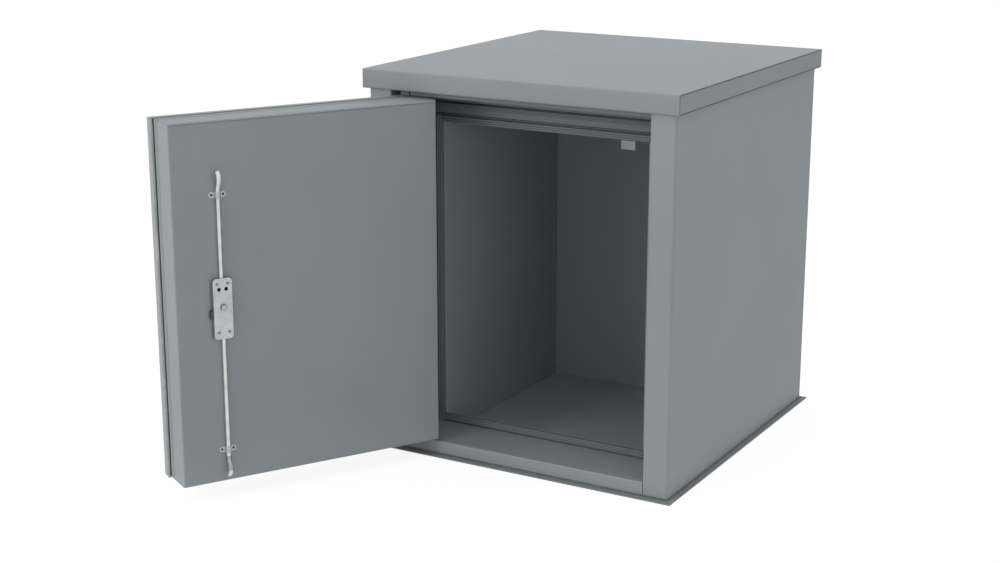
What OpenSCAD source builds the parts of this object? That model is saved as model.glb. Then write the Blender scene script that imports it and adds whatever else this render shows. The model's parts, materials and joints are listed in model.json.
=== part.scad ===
// Insulated sheet-steel gas cabinet, door open at its stop.
// X runs across the front, Y runs to the rear, Z is up.
// The origin is the centre of the body's footprint on the ground.

/* [Body] */
// Width of the body without flange and roof
body_width = 895; // [760:5:1200]
// Depth of the body without flange and roof
body_depth = 956; // [700:2:1200]
// Height of the body up to the underside of the roof
body_height = 1000; // [860:5:1600]
// Thickness of the outer sheet
skin = 2; // [1.2:0.1:2.4]
// Outer bend radius of the vertical body corners
corner_radius = 8; // [5:0.5:12]
// Bend radius of the post edges beside the door
post_edge_radius = 3.5; // [3:0.5:6]
// Width of each front post
post_width = 69.5; // [56:0.5:90]
// Width of the folded rear return of each side panel
rear_return = 32; // [20:1:50]
// Thickness of the base plate
base_thickness = 3; // [2:0.5:5]
// How far the base plate stands out at each side
base_side = 17; // [8:1:30]
// How far the base plate stands out at the front
base_front = 21; // [8:1:40]
// How far the base plate stands out at the rear
base_rear = 9; // [4:1:30]

/* [Roof] */
// Height of the roof cap
roof_height = 52; // [44:1:90]
// Overhang of the roof at each side
roof_side = 12; // [6:1:25]
// Overhang of the roof at the front
roof_front = 13.3; // [8:0.1:25]
// Overhang of the roof at the rear
roof_rear = 14; // [8:1:25]
// Radius of the long upper edges of the roof
roof_radius = 14; // [8:1:20]
// Radius of the long lower edges of the roof
roof_lower_radius = 6; // [4:1:10]
// Width of the folded flanges under the roof
roof_flange = 42; // [34:1:60]
// Dark seam around each end plate of the roof
roof_seam = 0.8; // [0.4:0.1:0.9]

/* [Door frame] */
// Height of the front sill
sill_height = 40.5; // [30:0.5:60]
// Depth of the recess that takes the door
recess_depth = 150; // [146:1:170]
// Height of the header above the door recess
header_height = 14; // [12:1:30]
// How far the header face is set back
header_setback = 12; // [6:1:16]
// Width of the sheet frame beside the door gasket
frame_width = 44; // [36:1:50]
// Dark joint between sheet frame and gasket
frame_joint = 7; // [4:0.5:9]
// Width of the door gasket
gasket_width = 17.5; // [14:0.5:22]
// Free gap between gasket and closed door
gasket_gap = 3; // [2.8:0.1:4]
// Number of ribs on the gasket
gasket_ribs = 3; // [2:1:4]
// Height of the upstand behind the sill
upstand_height = 25; // [20:0.5:26]
// Height of the flat sheet above the upper gasket joint
top_frame_height = 63; // [50:1:80]
// Height of the ribbed strip on the upper frame
ribbed_strip_height = 13; // [9:1:18]

/* [Interior] */
// Thickness of the inner liner sheet
liner_gauge = 1.5; // [1:0.1:2]
// How far the liner steps inside the gasket edge
liner_step = 6.5; // [3:0.5:10]
// Thickness of the rear wall from liner to outer face
rear_wall = 156; // [100:1:200]
// Width of the liner flange behind the sheet frame
liner_flange = 40; // [36:1:48]

/* [Door] */
// Opening angle in the modelled position
door_angle = 120; // [60:1:120]
// Thickness of the door
door_thickness = 125; // [118:1:126]
// How far the closed door sits behind the front plane
door_setback = 15; // [13:0.5:18]
// Gap between door edge and post
door_side_gap = 12.5; // [10:0.5:16]
// Gap above the sill
door_bottom_gap = 9.8; // [8:0.1:14]
// Gap under the header
door_top_gap = 2; // [1.5:0.5:5]
// Thickness of the door sheets
door_gauge = 1.5; // [1:0.1:1.8]
// Bend radius around the door faces
door_edge_radius = 4; // [3:0.5:6]
// Depth of the outer door leaf
leaf_depth = 20; // [19:0.5:24]
// Width of the groove between leaf and tray
groove_width = 12; // [8:0.5:14]
// How deep the groove is
groove_inset = 7; // [4:0.5:9]
// How far the rear flange of the leaf stands out at the free side
leaf_flange = 6; // [4:0.5:7]

/* [Hinges] */
// Distance of the hinge axis from the post
hinge_inset = 36; // [34:0.5:40]
// Distance of the hinge axis behind the front plane
hinge_setback = 27.2; // [26:0.1:28]
// Diameter of the hinge pins
pin_diameter = 10; // [8:0.5:11]
// Radial play between pin and bush
pin_play = 0.05; // [0.02:0.01:0.08]
// Wall of the hinge bushes
bush_wall = 2.2; // [1.5:0.1:2.2]
// Length of the hinge bushes
bush_length = 34; // [24:1:60]
// How far the pins reach into the door
pin_reach = 26; // [16:1:30]
// Thickness of the lower hinge plate
hinge_plate = 4; // [3:0.5:5]
// Width of the upper hinge block
hinge_block_width = 26; // [24:1:34]
// Depth of the hinge pieces behind the header face
hinge_block_depth = 46; // [36:1:60]

/* [Lock] */
// Distance of the lock centre line from the free door edge
lock_inset = 119; // [110:1:180]
// Height of the spindle above the ground
spindle_height = 515; // [440:1:560]
// Width of the lock cover plate
plate_width = 50; // [50:1:64]
// Height of the lock cover plate above the spindle
plate_above = 74; // [72:1:90]
// Height of the lock cover plate below the spindle
plate_below = 83; // [80:1:100]
// Corner cut of the cover plate
plate_corner = 6; // [3:0.5:8]
// Thickness of the cover plate
plate_gauge = 2.5; // [1.5:0.1:3]
// How far the lock case stands out of the door
case_rise = 9.5; // [9:0.5:12]
// How deep the lock case sits in the door
case_depth = 15; // [14:1:24]
// Wall of the lock case
case_wall = 1.5; // [1:0.1:1.8]
// Spindle bar across flats
spindle_size = 10; // [8:0.5:11]
// How far the spindle bar stands out of the cover plate
spindle_stand = 5.5; // [2:0.5:9]
// Module of the pinion teeth
tooth_module = 2; // [1.8:0.05:2]
// Number of pinion teeth
tooth_count = 16; // [14:2:16]
// Play between the flanks of pinion and rack
tooth_play = 0.3; // [0.2:0.05:0.5]
// Thickness of pinion and racks
tooth_width = 7; // [5:0.5:8]
// Diameter of the screw heads
screw_diameter = 7; // [5:0.5:8]
// Distance between the two inspection holes
inspection_spacing = 19; // [16:1:24]
// Diameter of the inspection holes
inspection_diameter = 10; // [6:0.5:12]

/* [Rods] */
// Diameter of the locking rods
rod_diameter = 11; // [8:0.5:11]
// Distance of the rod axis from the door face
rod_offset = 6; // [6:0.1:7]
// Distance of the flattened rod ends from the door face
rod_end_offset = 16; // [16:0.5:20]
// Thickness of the flattened rod ends
rod_end_gauge = 6; // [4:0.5:6]
// How far the rod tips lean towards the free door edge
rod_tip_lean = 3; // [0:0.5:5]
// Distance of the upper rod tip below the door top, unlocked
upper_tip_drop = 123; // [123:1:180]
// Distance of the lower rod tip above the door bottom, unlocked
lower_tip_rise = 17.7; // [17.7:0.1:50]
// Length of the bend at each rod end
rod_bend = 32; // [24:1:44]
// Length of the straight end behind the bend
rod_end = 20; // [14:1:30]
// Distance from the upper guide to the bend of its rod
upper_guide_gap = 9; // [8:1:40]
// Distance from the lower guide to the bend of its rod
lower_guide_gap = 17; // [8:1:40]
// Play of the rods in their guides
rod_play = 0.1; // [0.05:0.01:0.1]
// Wall of the rod guides
guide_wall = 2; // [1.5:0.1:3]
// Height of the ears of the rod guides
guide_height = 15; // [12:1:18]
// How much taller than the ears the saddle of a guide is
guide_saddle = 2; // [1:0.5:6]
// Distance between the two guide screws
guide_spacing = 31; // [30:0.5:40]
// Width of the upper keep
keep_width = 40; // [30:1:60]
// Height of the upper keep
keep_height = 27; // [20:1:34]
// Thickness of the upper keep
keep_gauge = 2; // [1.5:0.1:2.5]

/* [Hidden] */
// Facets of a full circle
$fn = 48;
// Tiny overrun of cutting bodies
cut = 1;
// Half of the body width
half = body_width / 2;
// Half of the clear width between the posts
recess_half = half - post_width;
// Underside of the header
header_bottom = body_height - header_height;
// Inner edge of the sheet frame
frame_half = recess_half + skin - frame_width;
// Inner edge of the gaskets
gasket_half = frame_half - frame_joint - gasket_width;
// Inner face of the side liners
liner_half = gasket_half - liner_step;
// Front face of the liner flanges
flange_y = recess_depth + skin;
// Lower edge of the upper sheet frame
top_frame_bottom = header_bottom - top_frame_height;
// Upper gasket, lower edge
gasket_top_z = top_frame_bottom - frame_joint - gasket_width;
// Underside of the liner ceiling
ceiling_z = gasket_top_z + 1.5;
// Top edge of the liner flanges
flange_top_z = top_frame_bottom + 17;
// Front face of the rear liner
liner_back_y = body_depth - rear_wall;
// Top edge of the upstand
upstand_top = sill_height + upstand_height;
// Inner face of the closed door
door_face = door_setback + door_thickness;
// Front of the gaskets
gasket_front = door_face + gasket_gap;
// Half of the door width
door_half = recess_half - door_side_gap;
// Bottom and top edges of the door
door_bottom = sill_height + door_bottom_gap;
door_top = header_bottom - door_top_gap;
door_height = door_top - door_bottom;
// How far the rear flange of the leaf hangs below the door
flange_drop = door_bottom_gap - hinge_plate - 1;
// Heights of the rod tips in the unlocked position
upper_tip = door_top - upper_tip_drop;
lower_tip = door_bottom + lower_tip_rise;
// Front of the tray
tray_y = door_setback + leaf_depth + groove_width;
tray_depth = door_face - tray_y;
// Hinge axis
hinge_x = -(recess_half - hinge_inset);
pin_r = pin_diameter / 2;
bush_r = pin_r + pin_play + bush_wall;
// Lock centre line on the closed door
lock_x = door_half - lock_inset;
// Pitch radius of the pinion and travel of the rods
pitch_r = tooth_module * tooth_count / 2;
tip_r = pitch_r + 0.9 * tooth_module;
root_r = pitch_r - 1.2 * tooth_module;
rack_back = 4;
rack_edge = pitch_r + 1.1 * tooth_module + rack_back;
rod_travel = pitch_r * PI / 2;
// Lock case, inside half width
case_half = plate_width / 2 - 0.8 - case_wall;
// Middle of pinion and racks, measured from the door face
gear_offset = -case_depth + case_wall + 1 + tooth_width / 2;
// Hub of the spindle with the round recess around the bar
hub_r = spindle_size * 0.5 * sqrt(2) + 3.6;
hub_play = 0.08;
hub_recess_r = hub_r - 2.4;
rod_r = rod_diameter / 2;
neck_r = rod_r - 2;
// Underside of the bridge block that joins rack and rod
bridge_gap = tip_r + 2.7;
bridge_height = 8;
screw_x = plate_width / 2 - 11;
screw_rise = plate_above - 14;
screw_fall = plate_below - 17.7;
inspection_rise = 46;

// Places a shape measured from the front plane of the body
module from_front() {
  translate([0, -body_depth / 2, 0]) children();
}

// Swings a shape modelled on the closed door to the open position
module on_door() {
  from_front()
    translate([hinge_x, hinge_setback, 0])
      rotate([0, 0, -door_angle])
        translate([-hinge_x, -hinge_setback, 0])
          children();
}

// Places a shape measured from the spindle axis on the inner door face
module at_lock() {
  on_door()
    translate([lock_x, door_face, spindle_height])
      children();
}

function unit(v) = v / norm(v);
function turn_angle(a, b) = atan2(a[0] * b[1] - a[1] * b[0], a[0] * b[0] + a[1] * b[1]);

// Flat section of a sheet folded along the given centre line
module fold(points, gauge, radii) {
  last = len(points) - 1;
  dirs = [for (i = [0:last - 1]) unit(points[i + 1] - points[i])];
  turns = [for (i = [1:last - 1]) turn_angle(dirs[i - 1], dirs[i])];
  mids = [for (i = [1:last - 1]) radii[i - 1] - gauge / 2];
  trims = [for (i = [0:last - 2]) mids[i] * tan(abs(turns[i]) / 2)];
  for (i = [0:last - 1]) {
    lead = i == 0 ? 0 : trims[i - 1];
    tail = i == last - 1 ? 0 : trims[i];
    run = norm(points[i + 1] - points[i]) - lead - tail;
    start = points[i] + dirs[i] * lead;
    translate(start)
      rotate(atan2(dirs[i][1], dirs[i][0]))
        translate([0, -gauge / 2])
          square([run, gauge]);
  }
  for (i = [0:last - 2]) {
    side = sign(turns[i]);
    normal = [-dirs[i][1], dirs[i][0]] * side;
    centre = points[i + 1] - dirs[i] * trims[i] + normal * mids[i];
    reach = 2 * mids[i] + gauge;
    out = -normal;
    next = [dirs[i + 1][1], -dirs[i + 1][0]] * side;
    translate(centre)
      intersection() {
        difference() {
          circle(r = mids[i] + gauge / 2);
          circle(r = mids[i] - gauge / 2);
        }
        polygon([[0, 0], out * reach, (out + next) * reach, next * reach]);
      }
  }
}

// Profile in the YZ plane extruded along X
module along_x(length) {
  translate([-length / 2, 0, 0])
    rotate([90, 0, 90])
      linear_extrude(height = length)
        children();
}

// Rectangle whose two lower corners are rounded
module soft_profile(width, depth, radius) {
  translate([-width / 2, radius]) square([width, depth - radius]);
  translate([-width / 2 + radius, 0]) square([width - 2 * radius, depth]);
  for (s = [-1, 1])
    translate([s * (width / 2 - radius), radius]) circle(r = radius);
}

// Box with rounded edges around its front face, front at y = 0
module soft_box(width, height, depth, radius) {
  intersection() {
    linear_extrude(height = height) soft_profile(width, depth, radius);
    translate([0, 0, height / 2])
      along_x(width)
        upright() soft_profile(height, depth, radius);
  }
}

// Pan folded from sheet, open to the rear, face at y = 0
module pan(width, height, depth, gauge, radius) {
  difference() {
    soft_box(width, height, depth, radius);
    translate([0, gauge, gauge])
      soft_box(width - 2 * gauge, height - 2 * gauge, depth, radius - gauge);
  }
}

// Ribbed strip section: base on y = 0, ribs pointing to minus y
module ribbed_section(width, depth, ribs, rib) {
  translate([0, -(depth - rib)]) square([width, depth - rib]);
  pitch = width / ribs;
  for (i = [0:ribs - 1])
    translate([pitch * (i + 0.5), -(depth - rib)])
      circle(r = rib);
}

// Turns a section so that its width stands up and its front faces forward
module upright() {
  rotate(-90) mirror([1, 0]) children();
}

// One side of the body: recess wall, post, side and rear return
module side_panel() {
  m = skin / 2;
  translate([0, -body_depth / 2, base_thickness])
    linear_extrude(height = body_height - base_thickness)
      fold([
        [recess_half + m, recess_depth],
        [recess_half + m, m],
        [half - m, m],
        [half - m, body_depth - m],
        [half - rear_return, body_depth - m]
      ], skin, [post_edge_radius, corner_radius, corner_radius]);
}

// Fibre slab that fills one side wall and its post
module side_insulation() {
  inner = liner_half + liner_gauge;
  back = body_depth - 2 * skin;
  flange_back = flange_y + liner_gauge;
  c = corner_radius;
  translate([0, -body_depth / 2, base_thickness])
    linear_extrude(height = body_height - base_thickness)
      polygon([
        [inner, flange_back + 1.2],
        [inner + 1.2, flange_back],
        [recess_half + skin, flange_back],
        [recess_half + skin, skin + c],
        [recess_half + skin + c / 2, skin],
        [half - skin - c, skin],
        [half - skin, skin + c],
        [half - skin, body_depth - skin - c],
        [half - skin - c, back],
        [inner, back]
      ]);
}

// Liner of one side wall with its front flange
module side_liner() {
  m = liner_gauge / 2;
  translate([0, -body_depth / 2, base_thickness])
    linear_extrude(height = flange_top_z - base_thickness)
      fold([
        [liner_half + liner_flange, flange_y + m],
        [liner_half + m, flange_y + m],
        [liner_half + m, liner_back_y + liner_gauge]
      ], liner_gauge, [liner_gauge + 1]);
}

// Sheet strip beside the door opening
module jamb() {
  from_front()
    translate([frame_half, recess_depth, base_thickness])
      cube([frame_width, skin, header_bottom - base_thickness + skin]);
}

// Upright gasket beside the door opening
module side_gasket() {
  from_front()
    translate([gasket_half, flange_y, sill_height])
      linear_extrude(height = top_frame_bottom - frame_joint - sill_height)
        ribbed_section(gasket_width, flange_y - gasket_front, gasket_ribs, 1.6);
}

// Outline of the roof cap in the YZ plane, drawn in by the given margin
module roof_outline(margin) {
  y0 = -roof_front + margin;
  y1 = body_depth + roof_rear - margin;
  z1 = roof_height - margin;
  top_r = roof_radius - margin;
  low_r = max(roof_lower_radius - margin, 1);
  translate([y0, margin + low_r]) square([y1 - y0, z1 - margin - low_r - top_r]);
  translate([y0 + top_r, margin]) square([y1 - y0 - 2 * top_r, z1 - margin]);
  for (y = [y0 + top_r, y1 - top_r])
    translate([y, z1 - top_r]) circle(r = top_r);
  for (side = [-1, 1]) {
    y = side < 0 ? y0 + low_r : y1 - low_r;
    translate([y, margin + low_r]) circle(r = low_r);
    translate([side < 0 ? y : y1 - top_r, margin]) square([top_r - low_r, low_r]);
  }
}

// Flat end plate of the roof
module roof_end() {
  translate([half + roof_side - skin, -body_depth / 2, body_height])
    rotate([90, 0, 90])
      linear_extrude(height = skin)
        roof_outline(skin + roof_seam);
}

// Pin, bush and washer stand on the hinge axis
module at_hinge(z) {
  translate([hinge_x, hinge_setback, z]) children();
}

function involute(a) = tan(a) - a * PI / 180;

// Half the angle of a pinion tooth at a given radius
function tooth_half(r) =
  let(base = pitch_r * cos(20))
  let(pitch_half = (PI * tooth_module / 2 - tooth_play) / pitch_r / 2 * 180 / PI)
  let(lift = (involute(20) - involute(acos(min(1, base / r)))) * 180 / PI)
  pitch_half + lift;

// Outline of one pinion tooth, pointing along X
module pinion_tooth() {
  base = pitch_r * cos(20) + 0.02;
  steps = 5;
  radii = [for (i = [0:steps]) base + (tip_r - base) * i / steps];
  polygon(concat(
    [[root_r - 1, -(root_r - 1) * sin(tooth_half(base))]],
    [for (r = radii) [r * cos(tooth_half(r)), -r * sin(tooth_half(r))]],
    [for (i = [steps:-1:0])
      [radii[i] * cos(tooth_half(radii[i])), radii[i] * sin(tooth_half(radii[i]))]],
    [[root_r - 1, (root_r - 1) * sin(tooth_half(base))]]
  ));
}

// Rack in the XZ plane beside the pinion, teeth towards the axis
module rack(low, high) {
  pitch = PI * tooth_module;
  addendum = 0.75 * tooth_module;
  flank = tan(20);
  wide = (pitch / 2 - tooth_play) / 2;
  root_x = pitch_r + 1.1 * tooth_module;
  tip_x = pitch_r - addendum;
  foot = wide + (root_x - pitch_r) * flank;
  crest = wide - addendum * flank;
  translate([root_x - 0.01, low]) square([rack_back + 0.01, high - low]);
  first = ceil((low + foot) / pitch - 0.5);
  final = floor((high - foot) / pitch - 0.5);
  for (i = [first:final])
    translate([0, (i + 0.5) * pitch])
      polygon([[root_x, -foot], [tip_x, -crest], [tip_x, crest], [root_x, foot]]);
}

// Rack with its bridge block and the neck that carries the rod
module rack_slider() {
  back = 16 + 3 * tooth_module + rod_travel;
  translate([0, gear_offset + tooth_width / 2, 0])
    rotate([90, 0, 0])
      linear_extrude(height = tooth_width)
        rack(-back, bridge_gap + bridge_height);
  translate([-neck_r - 1, gear_offset - tooth_width / 2, bridge_gap])
    cube([rack_edge + neck_r + 1, rod_offset + neck_r - gear_offset + tooth_width / 2 - 0.3,
      bridge_height]);
}

// Offset, height, slope, half thickness and sideways lean along a rod end
function hook_sections() =
  let(shift = rod_end_offset - rod_offset)
  let(angle = 2 * atan(shift / rod_bend))
  let(radius = rod_bend / 2 / sin(angle))
  let(thin = rod_end_gauge / 2)
  let(steps = 8)
  concat(
    [for (i = [0:steps])
      let(a = angle * i / steps)
      [rod_offset + radius * (1 - cos(a)), radius * sin(a), a,
        rod_r + (thin - rod_r) * i / steps / 2, 0]],
    [for (i = [steps - 1:-1:0])
      let(a = angle * i / steps)
      [rod_end_offset - radius * (1 - cos(a)), rod_bend - radius * sin(a), a,
        thin + (rod_r - thin) * i / steps / 2, 0]],
    [[rod_end_offset, rod_bend + rod_end * 0.45, 0, thin, 0]],
    [[rod_end_offset, rod_bend + rod_end - 0.6, 0, thin, rod_tip_lean]],
    [[rod_end_offset, rod_bend + rod_end, 0, thin - 0.6, rod_tip_lean]]
  );

// Side of a section between round and flat, for the sine or cosine of its angle
function squared(v, thin) =
  let(power = 1 - 0.55 * (rod_r - thin) / (rod_r - rod_end_gauge / 2))
  sign(v) * pow(abs(v), power);

// Flattened rod end that stands on the straight rod, z measured from its foot
module hook_shape() {
  sections = hook_sections();
  sides = 24;
  rings = len(sections);
  points = [for (s = sections) for (k = [0:sides - 1])
    let(t = 360 * (k + 0.5) / sides)
    let(thin = max(s[3], rod_end_gauge / 2))
    let(wide = rod_r - thin + s[3])
    let(out = s[3] * squared(sin(t), thin))
    [s[4] + wide * squared(cos(t), thin), s[0] + out * cos(s[2]), s[1] - out * sin(s[2])]];
  walls = [for (i = [0:rings - 2]) for (k = [0:sides - 1])
    let(n = (k + 1) % sides)
    [i * sides + k, (i + 1) * sides + k, (i + 1) * sides + n, i * sides + n]];
  foot = [[for (k = [0:sides - 1]) k]];
  tip = [[for (k = [sides - 1:-1:0]) (rings - 1) * sides + k]];
  polyhedron(points, concat(walls, foot, tip));
}

// Straight rod with the thin neck that runs into the lock case
module rod_shape(length, shoulder) {
  neck = bridge_gap + bridge_height;
  translate([0, rod_offset, shoulder])
    cylinder(r = rod_r, h = length - rod_end - rod_bend - shoulder);
  translate([0, rod_offset, neck]) cylinder(r = neck_r, h = shoulder - neck + 0.5);
}

// Saddle over a rod with two round ears on the door face
module guide(z) {
  inner = rod_r + rod_play;
  outer = inner + guide_wall;
  tall = guide_height + guide_saddle;
  translate([0, 0, z])
    difference() {
      union() {
        translate([0, 0, -tall / 2])
          linear_extrude(height = tall) {
            translate([-outer + 0.02, 0]) square([2 * outer - 0.04, rod_offset]);
            translate([0, rod_offset]) circle(r = outer);
          }
        translate([0, guide_wall, 0])
          rotate([90, 0, 0])
            linear_extrude(height = guide_wall) {
              square([guide_spacing, guide_height], center = true);
              for (s = [-1, 1])
                translate([s * guide_spacing / 2, 0]) circle(d = guide_height);
            }
      }
      translate([0, rod_offset, -tall]) cylinder(r = inner, h = 2 * tall);
      translate([-inner + 0.02, -outer, -tall])
        cube([2 * inner - 0.04, rod_offset + outer, 2 * tall]);
      for (s = [-1, 1])
        translate([s * guide_spacing / 2, -cut, 0])
          rotate([-90, 0, 0])
            cylinder(d = screw_diameter * 0.55, h = guide_wall + 2 * cut);
    }
}

// Cross-slotted screw head standing on a face that looks to plus y
module screw_head(shank) {
  rotate([-90, 0, 0]) {
    difference() {
      cylinder(r1 = screw_diameter / 2, r2 = screw_diameter / 2 - 0.8, h = 1.6);
      for (a = [0, 90])
        rotate([0, 0, a])
          translate([-screw_diameter / 3, -0.5, 0.8])
            cube([screw_diameter / 1.5, 1, 2]);
    }
    translate([0, 0, -shank]) cylinder(d = screw_diameter * 0.5, h = shank + 0.1);
  }
}

// Height of the guides, measured from the spindle
upper_guide_z = upper_tip - rod_end - rod_bend - upper_guide_gap - spindle_height;
lower_guide_z = lower_tip + rod_end + rod_bend + lower_guide_gap - spindle_height;

module base_plate() {
  color([0.30, 0.32, 0.34])
    from_front()
      translate([-half - base_side, -base_front, 0])
        cube([body_width + 2 * base_side, body_depth + base_front + base_rear, base_thickness]);
}

module side_panel_left() {
  color([0.52, 0.54, 0.57]) mirror([1, 0, 0]) side_panel();
}

module side_panel_right() {
  color([0.52, 0.54, 0.57]) side_panel();
}

module back_panel() {
  inset = corner_radius + 0.2;
  color([0.52, 0.54, 0.57])
    from_front()
      translate([-half + inset, body_depth - 2 * skin, base_thickness])
        cube([body_width - 2 * inset, skin, body_height - base_thickness]);
}

module back_rivets() {
  count = 7;
  first = base_thickness + 60;
  pitch = (body_height - 60 - first) / (count - 1);
  color([0.62, 0.64, 0.66])
    from_front()
      for (s = [-1, 1])
        for (i = [0:count - 1])
          translate([s * (half - rear_return / 2), body_depth, first + i * pitch])
            rotate([-90, 0, 0])
              cylinder(r1 = 4, r2 = 2.6, h = 1.4);
}

module sill() {
  m = skin / 2;
  color([0.54, 0.56, 0.59])
    from_front()
      along_x(2 * recess_half - 1)
        fold([
          [m, base_thickness],
          [m, sill_height - m],
          [recess_depth, sill_height - m]
        ], skin, [post_edge_radius]);
}

module upstand() {
  color([0.50, 0.52, 0.55])
    from_front()
      translate([-gasket_half + 0.3, recess_depth, base_thickness])
        cube([2 * gasket_half - 0.6, skin, upstand_top - base_thickness]);
}

module header() {
  m = skin / 2;
  notch = 2 * recess_half;
  color([0.50, 0.52, 0.55])
    difference() {
      from_front()
        along_x(2 * recess_half)
          fold([
            [header_setback + m, body_height],
            [header_setback + m, header_bottom + m],
            [recess_depth, header_bottom + m]
          ], skin, [post_edge_radius]);
      from_front()
        translate([-recess_half - cut, header_setback - cut, header_bottom - cut])
          cube([hinge_inset + hinge_block_width / 2 + 3 + cut, hinge_block_depth + cut + 0.3,
            header_height + 2 * cut]);
    }
}

module top_frame() {
  color([0.53, 0.55, 0.58])
    from_front()
      translate([-frame_half + 0.3, recess_depth, top_frame_bottom])
        cube([2 * frame_half - 0.6, skin, top_frame_height + skin]);
}

module ribbed_strip() {
  color([0.45, 0.47, 0.50])
    from_front()
      translate([0, recess_depth, top_frame_bottom + 14])
        along_x(2 * frame_half - 0.6)
          upright()
            ribbed_section(ribbed_strip_height, 2, 4, 0.9);
}

module jamb_left() {
  color([0.50, 0.52, 0.55]) mirror([1, 0, 0]) jamb();
}

module jamb_right() {
  color([0.50, 0.52, 0.55]) jamb();
}

module liner_left() {
  color([0.46, 0.48, 0.51]) mirror([1, 0, 0]) side_liner();
}

module liner_right() {
  color([0.46, 0.48, 0.51]) side_liner();
}

module liner_back() {
  color([0.46, 0.48, 0.51])
    from_front()
      translate([-liner_half + 0.1, liner_back_y, base_thickness])
        cube([2 * liner_half - 0.2, liner_gauge, flange_top_z - base_thickness]);
}

module liner_ceiling() {
  m = liner_gauge / 2;
  color([0.46, 0.48, 0.51])
    from_front()
      along_x(2 * liner_half - 0.2)
        fold([
          [flange_y + m, flange_top_z],
          [flange_y + m, ceiling_z + m],
          [liner_back_y, ceiling_z + m]
        ], liner_gauge, [liner_gauge + 1]);
}

module insulation_left() {
  color([0.80, 0.78, 0.66]) mirror([1, 0, 0]) side_insulation();
}

module insulation_right() {
  color([0.80, 0.78, 0.66]) side_insulation();
}

module insulation_back() {
  back = liner_back_y + liner_gauge;
  color([0.80, 0.78, 0.66])
    from_front()
      translate([-liner_half - liner_gauge, back, base_thickness])
        cube([2 * (liner_half + liner_gauge), body_depth - 2 * skin - back,
          body_height - base_thickness]);
}

module insulation_top() {
  front = flange_y + liner_gauge;
  low = ceiling_z + liner_gauge + 1;
  color([0.80, 0.78, 0.66])
    from_front()
      translate([-liner_half + 0.1, front, low])
        cube([2 * liner_half - 0.2, liner_back_y - front, body_height - low]);
}

module gasket_top() {
  color([0.16, 0.17, 0.18])
    from_front()
      translate([0, flange_y, gasket_top_z])
        along_x(2 * gasket_half - 0.6)
          upright()
            ribbed_section(gasket_width, flange_y - gasket_front, gasket_ribs, 1.6);
}

module gasket_bottom() {
  color([0.16, 0.17, 0.18])
    from_front()
      translate([0, recess_depth, upstand_top - gasket_width])
        along_x(2 * gasket_half - 0.6)
          upright()
            ribbed_section(gasket_width, recess_depth - gasket_front, gasket_ribs, 1.6);
}

module gasket_left() {
  color([0.16, 0.17, 0.18]) mirror([1, 0, 0]) side_gasket();
}

module gasket_right() {
  color([0.16, 0.17, 0.18]) side_gasket();
}

module roof_skin() {
  m = skin / 2;
  y0 = -roof_front + m;
  y1 = body_depth + roof_rear - m;
  color([0.60, 0.62, 0.65])
    from_front()
      translate([0, 0, body_height])
        along_x(body_width + 2 * roof_side)
          fold([
            [y0 + roof_flange, m],
            [y0, m],
            [y0, roof_height - m],
            [y1, roof_height - m],
            [y1, m],
            [y1 - roof_flange, m]
          ], skin, [roof_lower_radius, roof_radius, roof_radius, roof_lower_radius]);
}

module roof_base() {
  front = -roof_front + skin / 2 + roof_flange + 0.3;
  back = body_depth + roof_rear - skin / 2 - roof_flange - 0.3;
  color([0.50, 0.52, 0.55])
    from_front()
      translate([-half - roof_side + skin, front, body_height])
        cube([body_width + 2 * (roof_side - skin), back - front, skin]);
}

module roof_core() {
  color([0.80, 0.78, 0.66])
    from_front()
      translate([0, 0, body_height])
        along_x(body_width + 2 * (roof_side - skin))
          roof_outline(skin + 0.2);
}

module roof_end_left() {
  color([0.60, 0.62, 0.65]) mirror([1, 0, 0]) roof_end();
}

module roof_end_right() {
  color([0.60, 0.62, 0.65]) roof_end();
}

module keep() {
  m = keep_gauge / 2;
  front = door_face + rod_end_offset - rod_end_gauge / 2 - 1.2 - keep_gauge;
  top = gasket_top_z - 0.5 - keep_gauge;
  color([0.66, 0.68, 0.69])
    from_front()
      translate([lock_x, 0, 0])
        along_x(keep_width)
          {
            fold([
              [front + m, ceiling_z - keep_height],
              [front + m, top + m],
              [flange_y + 36, top + m]
            ], keep_gauge, [keep_gauge + 1.5]);
            translate([flange_y + 8, top + m]) square([28, ceiling_z - top - m]);
          }
}

module hinge_block() {
  width = hinge_block_width;
  color([0.60, 0.61, 0.62])
    from_front()
      difference() {
        translate([hinge_x - width / 2, header_setback, header_bottom])
          cube([width, hinge_block_depth, header_height]);
        at_hinge(header_bottom - cut)
          cylinder(r = pin_r + pin_play, h = header_height - 1);
      }
}

module hinge_plate_bottom() {
  width = hinge_inset + pin_diameter + 8;
  color([0.60, 0.61, 0.62])
    from_front()
      difference() {
        translate([-recess_half, 6, sill_height])
          cube([width, hinge_block_depth, hinge_plate]);
        at_hinge(sill_height - cut)
          cylinder(r = pin_r + pin_play, h = hinge_plate + 2 * cut);
      }
}

module pin_top() {
  color([0.72, 0.73, 0.74])
    from_front()
      at_hinge(door_top - pin_reach)
        cylinder(r = pin_r, h = pin_reach + door_top_gap + header_height - 2);
}

module pin_bottom() {
  color([0.72, 0.73, 0.74])
    from_front()
      at_hinge(sill_height)
        cylinder(r = pin_r, h = door_bottom_gap + pin_reach);
}

module thrust_washer() {
  color([0.72, 0.66, 0.44])
    from_front()
      at_hinge(sill_height + hinge_plate)
        difference() {
          cylinder(r = bush_r + 1.5, h = door_bottom_gap - hinge_plate - 0.2);
          translate([0, 0, -cut])
            cylinder(r = pin_r + pin_play, h = door_bottom_gap + 2 * cut);
        }
}

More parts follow.
